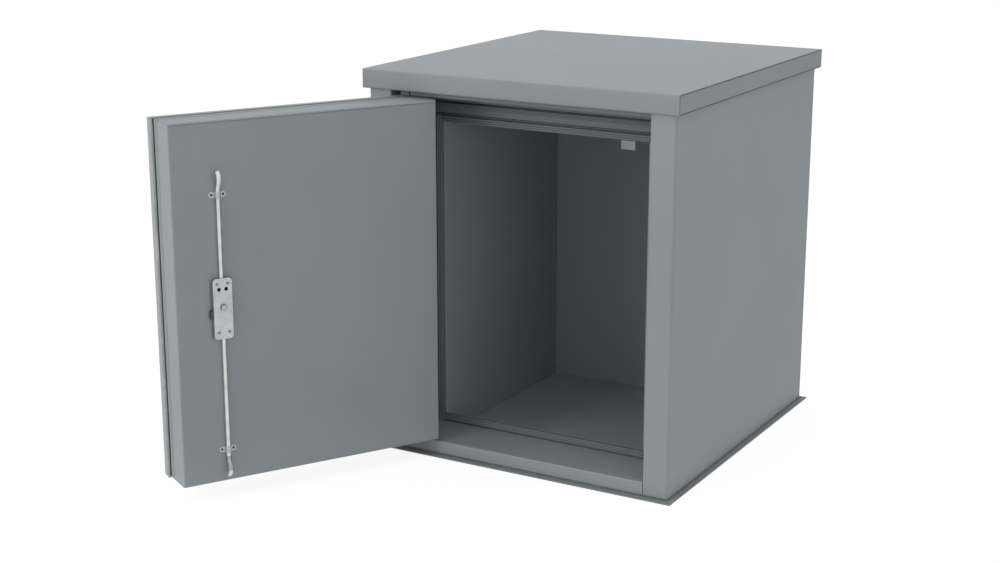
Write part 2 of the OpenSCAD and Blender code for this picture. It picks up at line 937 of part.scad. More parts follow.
module door_leaf() {
  low = door_bottom - flange_drop;
  rear = door_setback + leaf_depth - door_gauge;
  start = hinge_x + 30;
  color([0.52, 0.54, 0.57])
    on_door()
      difference() {
        union() {
          translate([0, door_setback, door_bottom])
            pan(2 * door_half, door_height, leaf_depth, door_gauge, door_edge_radius);
          translate([door_half - 1, rear, low])
            cube([leaf_flange + 1, door_gauge, door_top - low]);
          translate([start, rear, low])
            cube([door_half - start, door_gauge, flange_drop + 1]);
        }
        at_hinge(door_bottom - cut)
          cylinder(r = bush_r + 0.1, h = door_height + 2 * cut);
        translate([lock_x, door_setback - cut, spindle_height])
          rotate([-90, 0, 0])
            cylinder(r = hub_r + 0.4, h = door_gauge + 2 * cut);
      }
}

module door_tray() {
  opening = plate_width - 1.6;
  color([0.50, 0.52, 0.55])
    on_door()
      difference() {
        translate([0, door_face, door_bottom])
          mirror([0, 1, 0])
            pan(2 * door_half, door_height, tray_depth, door_gauge, door_edge_radius);
        translate([lock_x - opening / 2 - 0.1, door_face - door_gauge - cut,
            spindle_height - plate_below + 2.9])
          cube([opening + 0.2, door_gauge + 2 * cut, plate_above + plate_below - 5.8]);
      }
}

module door_groove() {
  inset = groove_inset;
  band = 14;
  color([0.10, 0.11, 0.12])
    on_door()
      translate([0, door_setback + leaf_depth, 0])
        difference() {
          translate([-door_half + inset, 0, door_bottom + inset])
            cube([2 * (door_half - inset), groove_width, door_height - 2 * inset]);
          translate([-door_half + inset + band, -cut, door_bottom + inset + band])
            cube([2 * (door_half - inset - band), groove_width + 2 * cut,
              door_height - 2 * (inset + band)]);
        }
}

module door_core() {
  g = door_gauge;
  waist = groove_inset + 14;
  color([0.80, 0.78, 0.66])
    on_door()
      difference() {
        union() {
          translate([0, door_setback + g, door_bottom + g])
            soft_box(2 * (door_half - g), door_height - 2 * g, leaf_depth - g,
              door_edge_radius - g);
          translate([-door_half + waist, door_setback + leaf_depth - cut, door_bottom + waist])
            cube([2 * (door_half - waist), groove_width + 2 * cut, door_height - 2 * waist]);
          translate([0, door_face - g, door_bottom + g])
            mirror([0, 1, 0])
              soft_box(2 * (door_half - g), door_height - 2 * g, tray_depth - g,
                door_edge_radius - g);
        }
        for (z = [door_bottom, door_top - bush_length])
          at_hinge(z - cut)
            cylinder(r = bush_r + 0.1, h = bush_length + 2 * cut);
        translate([lock_x, door_setback - cut, spindle_height])
          rotate([-90, 0, 0])
            cylinder(r = hub_r + 0.4, h = door_thickness);
        translate([lock_x - plate_width / 2, door_face - case_depth - 0.2,
            spindle_height - plate_below + 2])
          cube([plate_width, case_depth + cut, plate_above + plate_below - 4]);
      }
}

module bush(z) {
  on_door()
    at_hinge(z)
      difference() {
        cylinder(r = bush_r, h = bush_length);
        translate([0, 0, -cut])
          cylinder(r = pin_r + pin_play, h = bush_length + 2 * cut);
      }
}

module bush_top() {
  color([0.72, 0.66, 0.44]) bush(door_top - bush_length);
}

module bush_bottom() {
  color([0.72, 0.66, 0.44]) bush(door_bottom);
}

module lock_case() {
  width = plate_width - 1.6;
  low = -plate_below + 3;
  high = plate_above - 3;
  color([0.24, 0.25, 0.26])
    at_lock()
      difference() {
        union() {
          translate([-width / 2, -case_depth, low])
            cube([width, case_depth + case_rise, high - low]);
          translate([-width / 2 - 5, 0, low])
            cube([width + 10, 1.2, high - low]);
        }
        translate([-case_half, -case_depth + case_wall, low + case_wall])
          cube([2 * case_half, case_depth + case_rise, high - low - 2 * case_wall]);
        translate([0, rod_offset, low - cut])
          cylinder(r = neck_r + rod_play, h = high - low + 2 * cut);
        translate([0, -case_depth - cut, 0])
          rotate([-90, 0, 0])
            cylinder(r = hub_r + 0.4, h = case_wall + 2 * cut);
      }
}

module lock_plate() {
  w = plate_width / 2;
  c = plate_corner;
  color([0.72, 0.73, 0.75])
    at_lock()
      translate([0, case_rise + plate_gauge, 0])
        rotate([90, 0, 0])
          linear_extrude(height = plate_gauge)
            difference() {
              polygon([
                [-w + c, -plate_below], [w - c, -plate_below],
                [w, -plate_below + c], [w, plate_above - c],
                [w - c, plate_above], [-w + c, plate_above],
                [-w, plate_above - c], [-w, -plate_below + c]
              ]);
              circle(r = hub_r + hub_play);
              for (s = [-1, 1])
                translate([s * inspection_spacing / 2, inspection_rise])
                  circle(d = inspection_diameter);
            }
}

module lock_screws() {
  color([0.55, 0.56, 0.57])
    at_lock()
      for (s = [-1, 1])
        for (z = [screw_rise, -screw_fall])
          translate([s * screw_x, case_rise + plate_gauge, z])
            screw_head(0);
}

module side_block() {
  color([0.08, 0.085, 0.09])
    at_lock()
      translate([plate_width / 2 - 0.8, 1.2, -28.5])
        cube([8.8, case_rise - 1.2, 20.5]);
}

module guide_upper() {
  color([0.70, 0.71, 0.73]) at_lock() guide(upper_guide_z);
}

module guide_lower() {
  color([0.70, 0.71, 0.73]) at_lock() guide(lower_guide_z);
}

module guide_screws() {
  color([0.55, 0.56, 0.57])
    at_lock()
      for (z = [upper_guide_z, lower_guide_z])
        for (s = [-1, 1])
          translate([s * guide_spacing / 2, guide_wall, z])
            screw_head(guide_wall);
}

module key_rosette() {
  color([0.66, 0.67, 0.69])
    on_door()
      translate([lock_x, door_setback, spindle_height])
        rotate([90, 0, 0])
          difference() {
            cylinder(r1 = hub_r + 9, r2 = hub_r + 8, h = 3);
            translate([0, 0, -cut]) cylinder(r = hub_r + hub_play, h = 3 + 2 * cut);
          }
}

module spindle_bar() {
  front = door_setback + 8;
  color([0.62, 0.63, 0.65])
    on_door()
      translate([lock_x - spindle_size / 2, front, spindle_height - spindle_size / 2])
        cube([spindle_size, door_face + case_rise + plate_gauge + spindle_stand - front,
          spindle_size]);
}

module spindle_hub() {
  play = 0.1;
  color([0.70, 0.71, 0.73])
    at_lock()
      difference() {
        translate([0, gear_offset + tooth_width / 2 + 0.2, 0])
          rotate([-90, 0, 0])
            cylinder(r = hub_r, h = case_rise + plate_gauge - gear_offset - tooth_width / 2);
        translate([-spindle_size / 2 - play, gear_offset, -spindle_size / 2 - play])
          cube([spindle_size + 2 * play, case_rise + plate_gauge - gear_offset + 2 * cut,
            spindle_size + 2 * play]);
        translate([0, case_rise + plate_gauge - 4, 0])
          rotate([-90, 0, 0])
            cylinder(r = hub_recess_r, h = 4 + 2 * cut);
      }
}

module pinion() {
  play = 0.1;
  color([0.55, 0.56, 0.58])
    at_lock()
      translate([0, gear_offset + tooth_width / 2, 0])
        rotate([90, 0, 0])
          linear_extrude(height = tooth_width)
            difference() {
              union() {
                circle(r = root_r);
                for (i = [0:tooth_count - 1])
                  rotate(360 * i / tooth_count) pinion_tooth();
              }
              square(spindle_size + 2 * play, center = true);
            }
}

module key_nut() {
  key = spindle_size * 0.8;
  color([0.55, 0.56, 0.58])
    on_door()
      translate([lock_x, door_setback - 3.6, spindle_height])
        rotate([-90, 0, 0])
          difference() {
            cylinder(r = hub_r, h = 11.6);
            translate([-key / 2, -key / 2, -cut]) cube([key, key, 8 + cut]);
          }
}

module upper_rod() {
  color([0.74, 0.76, 0.78])
    at_lock()
      rod_shape(upper_tip - spindle_height, plate_above + 1);
}

module upper_hook() {
  color([0.74, 0.76, 0.78])
    at_lock()
      translate([0, 0, upper_tip - spindle_height - rod_end - rod_bend])
        hook_shape();
}

module upper_rack() {
  color([0.55, 0.56, 0.58])
    at_lock()
      mirror([1, 0, 0])
        rack_slider();
}

module lower_rod() {
  color([0.74, 0.76, 0.78])
    at_lock()
      mirror([0, 0, 1])
        rod_shape(spindle_height - lower_tip, plate_below + 1);
}

module lower_hook() {
  color([0.74, 0.76, 0.78])
    at_lock()
      mirror([0, 0, 1])
        translate([0, 0, spindle_height - lower_tip - rod_end - rod_bend])
          hook_shape();
}

module lower_rack() {
  color([0.55, 0.56, 0.58])
    at_lock()
      mirror([0, 0, 1])
        rack_slider();
}

base_plate();
side_panel_left();
side_panel_right();
back_panel();
back_rivets();
sill();
upstand();
header();
top_frame();
ribbed_strip();
jamb_left();
jamb_right();
liner_left();
liner_right();
liner_back();
liner_ceiling();
insulation_left();
insulation_right();
insulation_back();
insulation_top();
gasket_top();
gasket_bottom();
gasket_left();
gasket_right();
roof_skin();
roof_base();
roof_core();
roof_end_left();
roof_end_right();
keep();
hinge_block();
hinge_plate_bottom();
pin_top();
pin_bottom();
thrust_washer();
door_leaf();
door_tray();
door_groove();
door_core();
bush_top();
bush_bottom();
lock_case();
lock_plate();
lock_screws();
side_block();
guide_upper();
guide_lower();
guide_screws();
key_rosette();
spindle_bar();
spindle_hub();
pinion();
key_nut();
upper_rod();
upper_hook();
upper_rack();
lower_rod();
lower_hook();
lower_rack();
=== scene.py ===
"""Looks of the insulated gas cabinet: finishes, small fittings, studio and camera.

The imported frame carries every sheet, slab, hinge and lock piece. This script gives each of
them a finish, adds the fine fittings that sit on them, and sets up the studio.
Lengths are metres; the origin is the centre of the body's footprint on the ground. Whatever
a fitting shares with the frame is measured from the frame's own nodes and joints.
"""
import json
import logging
import math
from dataclasses import dataclass, field
from enum import Enum
from typing import Any, ClassVar, Mapping, Sequence, Union

import bmesh
import bpy
import numpy as np
from mathutils import Matrix, Vector


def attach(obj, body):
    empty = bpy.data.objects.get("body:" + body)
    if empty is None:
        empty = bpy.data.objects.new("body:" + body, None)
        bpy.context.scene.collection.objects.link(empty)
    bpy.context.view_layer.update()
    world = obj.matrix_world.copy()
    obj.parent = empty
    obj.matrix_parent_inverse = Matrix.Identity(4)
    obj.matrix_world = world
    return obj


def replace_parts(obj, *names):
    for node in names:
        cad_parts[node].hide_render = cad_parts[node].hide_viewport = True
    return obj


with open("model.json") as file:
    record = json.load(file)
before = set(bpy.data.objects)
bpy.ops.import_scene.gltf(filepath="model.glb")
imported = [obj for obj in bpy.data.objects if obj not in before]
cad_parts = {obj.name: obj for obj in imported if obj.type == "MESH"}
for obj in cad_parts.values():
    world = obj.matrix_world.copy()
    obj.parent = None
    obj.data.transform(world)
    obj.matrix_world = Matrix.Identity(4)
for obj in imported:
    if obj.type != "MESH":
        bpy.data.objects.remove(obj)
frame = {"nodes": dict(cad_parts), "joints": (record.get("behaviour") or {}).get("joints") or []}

log = logging.getLogger("cabinet")
logging.basicConfig(level=logging.INFO, format="%(name)s: %(message)s")

Pair = tuple[float, float]
Triple = tuple[float, float, float]
Profile = tuple[Pair, ...]
RGB = Triple
ALONG_X, ALONG_Y, ALONG_Z = (1.0, 0.0, 0.0), (0.0, 1.0, 0.0), (0.0, 0.0, 1.0)
AGAINST_X = (-1.0, 0.0, 0.0)
WHITE: RGB = (1.0, 1.0, 1.0)
CORNER_STEPS = 6
SHARP_ANGLE = math.radians(32)


def linear(red: int, green: int, blue: int) -> RGB:
    """Turns a display colour of 0 to 255 into the linear colour of a shader.

    Args:
        red, green, blue: the display colour.

    Returns:
        The linear colour. Each channel is v / 12.92 near black and
        ((v + 0.055) / 1.055) to the power 2.4 above.
    """
    channels = []
    for value in (red / 255, green / 255, blue / 255):
        channels.append(value / 12.92 if value <= 0.04045 else ((value + 0.055) / 1.055) ** 2.4)
    return channels[0], channels[1], channels[2]


@dataclass(frozen=True)
class Box:
    """Box of a CAD node along the axes of a placement."""

    low: Vector
    high: Vector

    @classmethod
    def of(cls, node: str, place: Matrix = Matrix()) -> "Box":
        """Measures a node.

        Args:
            node: the CAD node's name.
            place: the placement whose axes count; the world's if none is given.

        Returns:
            The box.
        """
        mesh = frame["nodes"][node].data
        points = np.empty(3 * len(mesh.vertices))
        mesh.vertices.foreach_get("co", points)
        inverse = np.array(place.inverted())
        local = points.reshape(-1, 3) @ inverse[:3, :3].T + inverse[:3, 3]
        return cls(Vector(local.min(0)), Vector(local.max(0)))

    @property
    def centre(self) -> Vector:
        """Middle of the box."""
        return (self.low + self.high) / 2

    @property
    def half(self) -> Vector:
        """Half of the box's size."""
        return (self.high - self.low) / 2


class Sock:
    """A shader value that turns arithmetic into Math nodes."""

    def __init__(self, graph: "Graph", link: bpy.types.NodeSocket) -> None:
        """Wraps an output socket of a graph."""
        self.graph = graph
        self.link = link

    def math(self, operation: str, *others: "Term") -> "Sock":
        """Adds one Math node.

        Args:
            operation: name of the operation.
            others: the further operands.

        Returns:
            The node's value.
        """
        values = dict(enumerate((self, *others)))
        return self.graph.node("ShaderNodeMath", {"operation": operation}, values)["Value"]

    def __add__(self, other: "Term") -> "Sock":
        """Sum."""
        return self.math("ADD", other)

    def __sub__(self, other: "Term") -> "Sock":
        """Difference."""
        return self.math("SUBTRACT", other)

    def __rsub__(self, other: float) -> "Sock":
        """A number minus this value."""
        return self.graph.node("ShaderNodeMath", {"operation": "SUBTRACT"}, {0: other, 1: self})["Value"]

    def __mul__(self, other: "Term") -> "Sock":
        """Product."""
        return self.math("MULTIPLY", other)

    __radd__ = __add__
    __rmul__ = __mul__

    def step(self, low: float, high: float) -> "Sock":
        """Smooth ramp from 0 below low to 1 above high.

        Args:
            low, high: the ends of the ramp; low may be the larger one.

        Returns:
            The ramped value.
        """
        settings = {"interpolation_type": "SMOOTHSTEP"}
        values = {"Value": self, "From Min": low, "From Max": high}
        return self.graph.node("ShaderNodeMapRange", settings, values)["Result"]


Term = Union[Sock, float]


class Outputs:
    """Output sockets of a node, by name."""

    def __init__(self, graph: "Graph", node: bpy.types.Node) -> None:
        """Keeps the node and its graph."""
        self.graph = graph
        self.bare = node

    def __getitem__(self, name: str) -> Sock:
        """The output of that name that is switched on."""
        found = next(o for o in self.bare.outputs if o.name == name and o.enabled)
        return Sock(self.graph, found)


@dataclass(frozen=True)
class Grain:
    """A noise pattern: lumps a metre, octaves, weight of the fine octaves, stretch and turn."""

    scale: float
    detail: float
    rough: float
    stretch: Triple = (1.0, 1.0, 1.0)
    turn: Triple = (0.0, 0.0, 0.0)


@dataclass(frozen=True)
class Relief:
    """How a bump stands out: its height in metres and the share of it that is used."""

    reach: float
    strength: float


class Graph:
    """Node graph of one material or world."""

    def __init__(self, owner: Union[bpy.types.Material, bpy.types.World]) -> None:
        """Empties the owner's node tree."""
        owner.use_nodes = True
        self.tree = owner.node_tree
        self.tree.nodes.clear()

    def node(self, kind: str, settings: Mapping[str, Any], values: Mapping[Any, Any]) -> Outputs:
        """Adds any node.

        Args:
            kind: the node's type.
            settings: the node's own settings, set first.
            values: number, colour or Sock for each input, by name or index.

        Returns:
            The node's outputs.
        """
        node = self.tree.nodes.new(kind)
        for key, value in settings.items():
            setattr(node, key, value)
        for key, value in values.items():
            if isinstance(key, int):
                socket = node.inputs[key]
            else:
                socket = next(i for i in node.inputs if i.name == key and i.enabled)
            if isinstance(value, Sock):
                self.tree.links.new(value.link, socket)
            elif isinstance(value, tuple) and len(value) == 3 and socket.type == "RGBA":
                socket.default_value = (*value, 1.0)
            else:
                socket.default_value = value
        return Outputs(self, node)

    def coords(self) -> Sock:
        """Object coordinates, which no node of this script moves."""
        return self.node("ShaderNodeTexCoord", {}, {})["Object"]

    def along(self, axis: str) -> Sock:
        """Place along one axis, in metres."""
        return self.node("ShaderNodeSeparateXYZ", {}, {"Vector": self.coords()})[axis]

    def noise(self, grain: Grain) -> Sock:
        """Fractal noise from 0 to 1.

        Args:
            grain: the pattern.

        Returns:
            The noise value, read at the scaled and turned object coordinates.
        """
        values = {"Vector": self.coords(), "Rotation": grain.turn, "Scale": grain.stretch}
        place = self.node("ShaderNodeMapping", {}, values)["Vector"]
        values = {"Vector": place, "Scale": grain.scale, "Detail": grain.detail, "Roughness": grain.rough}
        return self.node("ShaderNodeTexNoise", {}, values)["Fac"]

    def mix(self, factor: Term, first: Union[RGB, Sock], second: Union[RGB, Sock]) -> Sock:
        """Blend of two colours.

        Args:
            factor: share of the second colour.
            first, second: the colours.

        Returns:
            The blended colour.
        """
        values = {"Factor": factor, "A": first, "B": second}
        return self.node("ShaderNodeMix", {"data_type": "RGBA", "clamp_factor": True}, values)["Result"]

    def seen(self) -> Sock:
        """Tells rays that look from rays that carry light.

        Returns:
            1 on rays from the camera, mirrors and clear materials, 0 on the others.
        """
        path = self.node("ShaderNodeLightPath", {}, {})
        rays = path["Is Camera Ray"] + path["Is Glossy Ray"] + path["Is Transmission Ray"]
        return rays.math("MINIMUM", 1.0)

    def shader(self, values: Mapping[str, Any], bump: Sock, relief: Relief) -> Sock:
        """Principled surface with a bump.

        Args:
            values: the shader's inputs.
            bump: height field from 0 to 1.
            relief: how the field stands out.

        Returns:
            The shader.
        """
        heights = {"Height": bump, "Distance": relief.reach, "Strength": relief.strength}
        normal = self.node("ShaderNodeBump", {}, heights)["Normal"]
        return self.node("ShaderNodeBsdfPrincipled", {}, {**values, "Normal": normal})["BSDF"]

    def surface(self, values: Mapping[str, Any], bump: Sock, relief: Relief) -> None:
        """Closes the graph with the principled surface; arguments as for shader."""
        self.node("ShaderNodeOutputMaterial", {}, {"Surface": self.shader(values, bump, relief)})


@dataclass(frozen=True)
class Finish:
    """Base of all finishes: a name and a colour."""

    made: ClassVar[dict[str, bpy.types.Material]] = {}
    name: str
    colour: RGB

    def make(self) -> bpy.types.Material:
        """The material, made on first use."""
        if self.name not in self.made:
            self.made[self.name] = bpy.data.materials.new(self.name)
            self.wire(Graph(self.made[self.name]))
        return self.made[self.name]

    def wire(self, graph: Graph) -> None:
        """Builds the shader graph."""
        raise NotImplementedError

    def shade(self, factor: float, lift: float = 0.0) -> RGB:
        """The finish's colour times a factor plus a lift, at most white."""
        red, green, blue = (min(1.0, channel * factor + lift) for channel in self.colour)
        return red, green, blue

    def tone(self, graph: Graph, base: Sock) -> Sock:
        """The colour with what one kind of piece shows besides; here nothing."""
        return base


@dataclass(frozen=True)
class Paint(Finish):
    """Stoved satin paint with a fine orange-peel skin, faint clouds, scuffs low down, and painted light
    that lifts it paler towards the bottom.
    """

    PEEL: ClassVar[Grain] = Grain(430.0, 2.0, 0.55)
    FINE: ClassVar[Grain] = Grain(1500.0, 1.0, 0.5)
    CLOUDS: ClassVar[Grain] = Grain(2.3, 3.0, 0.55)
    WIPES: ClassVar[Grain] = Grain(2.0, 4.0, 0.6, (14.0, 14.0, 1.2))
    SCRATCHES: ClassVar[Grain] = Grain(3.0, 3.0, 0.7, (6.0, 6.0, 90.0), (0.25, 0.1, 0.0))
    FILM: ClassVar[Relief] = Relief(0.00035, 0.55)
    CLOUD_EDGE: ClassVar[Pair] = (0.3, 0.7)
    WIPE_EDGE: ClassVar[Pair] = (0.5, 0.75)
    SCRATCH_EDGE: ClassVar[Pair] = (0.66, 0.74)
    LOW_ZONE_HEIGHT: ClassVar[float] = 0.22
    WIPE_SHARE: ClassVar[float] = 0.16
    PAINTED_LIGHT_SHARE: ClassVar[float] = 0.4
    UNEVEN: ClassVar[float] = 0.10
    GLOSS: ClassVar[float] = 0.42
    roughness: float = 0.55
    scuffs: float = 0.5

    def wire(self, graph: Graph) -> None:
        """Paint film: peel of about 2 mm, clouds of about 30 cm, vertical wipe marks."""
        clouds, wipes = graph.noise(self.CLOUDS), graph.noise(self.WIPES)
        low = graph.along("Z").step(self.LOW_ZONE_HEIGHT, 0.0)
        marks = graph.noise(self.SCRATCHES).step(*self.SCRATCH_EDGE) * (low * 0.5 + 0.12) * self.scuffs
        deep, pale = self.shade(0.965), self.shade(1.03, 0.003)
        painted_light, rubbed = self.shade(0.9, 0.10), self.shade(1.5, 0.05)
        base = graph.mix(clouds.step(*self.CLOUD_EDGE), deep, pale)
        base = graph.mix(wipes.step(*self.WIPE_EDGE) * self.WIPE_SHARE, base, pale)
        # Painted light: towards the bottom the paint is lifted paler, standing in for light from the floor.
        base = graph.mix(low * self.PAINTED_LIGHT_SHARE, base, painted_light)
        base = graph.mix(marks, self.tone(graph, base), rubbed)
        rough = (clouds - 0.5) * self.UNEVEN + (wipes - 0.5) * self.UNEVEN + marks * 0.2 + self.roughness
        values = {"Base Color": base, "Roughness": rough, "Specular IOR Level": self.GLOSS}
        graph.surface(values, graph.noise(self.PEEL) * 0.8 + graph.noise(self.FINE) * 0.2, self.FILM)


@dataclass(frozen=True)
class RoofPaint(Paint):
    """Paint of the roof, with painted light on its upper face: the flat of the roof is lifted paler."""

    CROWN_EDGE: ClassVar[Pair] = (0.0020, 0.0008)
    painted_light: float = 1.10

    def tone(self, graph: Graph, base: Sock) -> Sock:
        """Lifts the flat of the roof paler as painted light, from 2 mm to 0.8 mm below its crown.

        Args:
            graph: the material's graph.
            base: the paint's colour.

        Returns:
            The colour with the painted light.
        """
        crown, (start, full) = Box.of("roof_skin").high.z, self.CROWN_EDGE
        lit_top = graph.along("Z").step(crown - start, crown - full)
        # Painted light: the flat top of the roof is lifted paler than its fascia.
        return graph.mix(lit_top, base, self.shade(self.painted_light, 0.004))


@dataclass(frozen=True)
class BasePaint(Paint):
    """Paint of the base plate: plain inside the walls, darkened on the outer flange as painted shade."""

    SOFT: ClassVar[float] = 0.0004
    flange_shade: float = 0.66

    def tone(self, graph: Graph, base: Sock) -> Sock:
        """Darkens what lies further out than the walls, in X or in Y, as painted shade.

        Args:
            graph: the material's graph.
            base: the paint's colour.

        Returns:
            The colour with the painted shade.
        """
        walls = Box.of("side_panel_right").high
        side = graph.along("X").math("ABSOLUTE") - walls.x
        front = graph.along("Y").math("ABSOLUTE") - walls.y
        outside = side.math("MAXIMUM", front).step(-self.SOFT, self.SOFT)
        # Painted shade: the outer flange is darkened.
        return graph.mix(outside, base, self.shade(self.flange_shade))


@dataclass(frozen=True)
class Plated(Finish):
    """Bright zinc-plated steel, drawn or rolled along one direction."""

    CLOUDS: ClassVar[Grain] = Grain(38.0, 3.0, 0.6)
    SPECKS: ClassVar[Grain] = Grain(420.0, 2.0, 0.6)
    SURFACE: ClassVar[Relief] = Relief(0.00012, 0.5)
    CLOUD_EDGE: ClassVar[Pair] = (0.32, 0.68)
    SPECK_EDGE: ClassVar[Pair] = (0.66, 0.74)
    SPECK_SHARE: ClassVar[float] = 0.2
    roughness: float = 0.36
    metallic: float = 0.85
    drawn: Triple = (900.0, 900.0, 18.0)

    def wire(self, graph: Graph) -> None:
        """Rolling lines along the long axis, cloudy passivation, small dull specks."""
        lines = graph.noise(Grain(1.0, 3.0, 0.6, self.drawn))
        clouds, specks = graph.noise(self.CLOUDS), graph.noise(self.SPECKS)
        base = graph.mix(clouds.step(*self.CLOUD_EDGE), self.shade(0.91), self.shade(1.06, 0.01))
        base = graph.mix(specks.step(*self.SPECK_EDGE) * self.SPECK_SHARE, base, self.shade(0.62))
        rough = (clouds - 0.5) * 0.22 + (lines - 0.5) * 0.18 + self.roughness
        values = {"Base Color": self.tone(graph, base), "Metallic": self.metallic, "Roughness": rough}
        graph.surface(values, lines * 0.7 + specks * 0.3, self.SURFACE)


@dataclass(frozen=True)
class ShadedEnd(Plated):
    """Flattened rod end, darker from its bright tip to just past the flattened stretch: painted shade of
    the end that faces down.
    """

    SOFT: ClassVar[float] = 0.002
    bright_tip: float = 0.015
    past_end: float = 0.001
    end_shade: float = 0.55

    def tone(self, graph: Graph, base: Sock) -> Sock:
        """Darkens the lower rod's end between its tip and the rod, as painted shade.

        Args:
            graph: the material's graph.
            base: the plating's colour.

        Returns:
            The colour with the painted shade.
        """
        hook = Box.of("lower_hook")
        tip, root = hook.low.z + self.bright_tip, hook.high.z + self.past_end
        height = graph.along("Z")
        above_tip = height.step(tip - self.SOFT, tip + self.SOFT)
        below_root = height.step(root + self.SOFT, root - self.SOFT)
        # Painted shade: the flattened stretch of the lower hook is darkened.
        return graph.mix(above_tip * below_root, base, self.shade(self.end_shade))


@dataclass(frozen=True)
class Rubber(Finish):
    """Extruded seal: dull, slightly bloomed, with a fine grit."""

    BLOOM: ClassVar[Grain] = Grain(24.0, 4.0, 0.62)
    GRIT: ClassVar[Grain] = Grain(900.0, 2.0, 0.5)
    SKIN: ClassVar[Relief] = Relief(0.0002, 0.5)
    BLOOM_EDGE: ClassVar[Pair] = (0.42, 0.72)
    BLOOM_SHARE: ClassVar[float] = 0.6
    UNEVEN: ClassVar[float] = 0.2
    GLOSS: ClassVar[float] = 0.35
    roughness: float = 0.72

    def wire(self, graph: Graph) -> None:
        """Grey bloom in patches over a dull skin."""
        bloom = graph.noise(self.BLOOM)
        patches = bloom.step(*self.BLOOM_EDGE) * self.BLOOM_SHARE
        base = graph.mix(patches, self.colour, self.shade(1.5, 0.01))
        rough = (bloom - 0.5) * self.UNEVEN + self.roughness
        values = {"Base Color": base, "Roughness": rough, "Specular IOR Level": self.GLOSS}
        graph.surface(values, graph.noise(self.GRIT), self.SKIN)


@dataclass(frozen=True)
class Ribbed(Finish):
    """Ribbed strip with painted shade in its valleys, with the node that it is on."""

    BLOOM_EDGE: ClassVar[Pair] = (0.40, 0.72)
    BLOOM_SHARE: ClassVar[float] = 0.3
    VALLEY_EDGE: ClassVar[Pair] = (0.24, 0.44)
    VALLEY_SHADE_SHARE: ClassVar[float] = 0.7
    node: str
    axis: str
    ribs: int
    roughness: float = 0.66

    def wire(self, graph: Graph) -> None:
        """Bloom in patches and painted shade in the valleys; the valley mask is the distance from the
        middle of each rib, in ribs.
        """
        strip, across = Box.of(self.node), "XYZ".index(self.axis)
        start, width = strip.low[across], 2 * strip.half[across]
        count = (graph.along(self.axis) - start) * (self.ribs / width)
        valley = (count.math("FRACT") - 0.5).math("ABSOLUTE").step(*self.VALLEY_EDGE)
        bloom = graph.noise(Rubber.BLOOM)
        patches = bloom.step(*self.BLOOM_EDGE) * self.BLOOM_SHARE
        base = graph.mix(patches, self.colour, self.shade(1.2, 0.01))
        # Painted shade: the valleys between the ribs are darkened.
        base = graph.mix(valley * self.VALLEY_SHADE_SHARE, base, self.shade(0.45))
        rough = (bloom - 0.5) * Rubber.UNEVEN + valley * 0.1 + self.roughness
        values = {"Base Color": base, "Roughness": rough, "Specular IOR Level": Rubber.GLOSS}
        graph.surface(values, graph.noise(Rubber.GRIT), Rubber.SKIN)


@dataclass(frozen=True)
class Fibre(Finish):
    """Pressed mineral fibre board with matted strands."""

    STRANDS: ClassVar[Grain] = Grain(1.0, 4.0, 0.7, (40.0, 260.0, 900.0))
    CROSSED: ClassVar[Grain] = Grain(1.0, 4.0, 0.7, (700.0, 60.0, 200.0))
    LUMPS: ClassVar[Grain] = Grain(60.0, 3.0, 0.6)
    MAT: ClassVar[Relief] = Relief(0.0012, 0.7)
    ROUGHNESS: ClassVar[float] = 0.95

    def wire(self, graph: Graph) -> None:
        """Matted strands in two directions and lumps of binder."""
        strands, crossed = graph.noise(self.STRANDS), graph.noise(self.CROSSED)
        base = graph.mix(strands * 0.6 + crossed * 0.4, self.shade(0.7), self.colour)
        base = graph.mix(graph.noise(self.LUMPS).step(0.55, 0.7) * 0.5, base, self.shade(0.55))
        graph.surface({"Base Color": base, "Roughness": self.ROUGHNESS}, strands + crossed, self.MAT)


@dataclass(frozen=True)
class Ground(Finish):
    """Pale studio floor that stays white to the camera and keeps a faint shadow."""

    GRAIN: ClassVar[Grain] = Grain(30.0, 2.0, 0.5)
    FLAT: ClassVar[Relief] = Relief(0.0001, 0.1)
    GLOW: ClassVar[float] = 1.18
    WHITE_SHARE: ClassVar[float] = 0.75

    def wire(self, graph: Graph) -> None:
        """Matt floor; the camera sees three quarters of it as white."""
        values = {"Base Color": self.colour, "Roughness": 0.9, "Specular IOR Level": 0.1}
        matt = graph.shader(values, graph.noise(self.GRAIN), self.FLAT)
        white = graph.node("ShaderNodeEmission", {}, {"Color": WHITE, "Strength": self.GLOW})["Emission"]
        share = graph.seen() * self.WHITE_SHARE
        both = graph.node("ShaderNodeMixShader", {}, {0: share, 1: matt, 2: white})["Shader"]
        graph.node("ShaderNodeOutputMaterial", {}, {"Surface": both})


ROLLED: Triple = (260.0, 260.0, 40.0)
TURNED: Triple = (500.0, 500.0, 500.0)


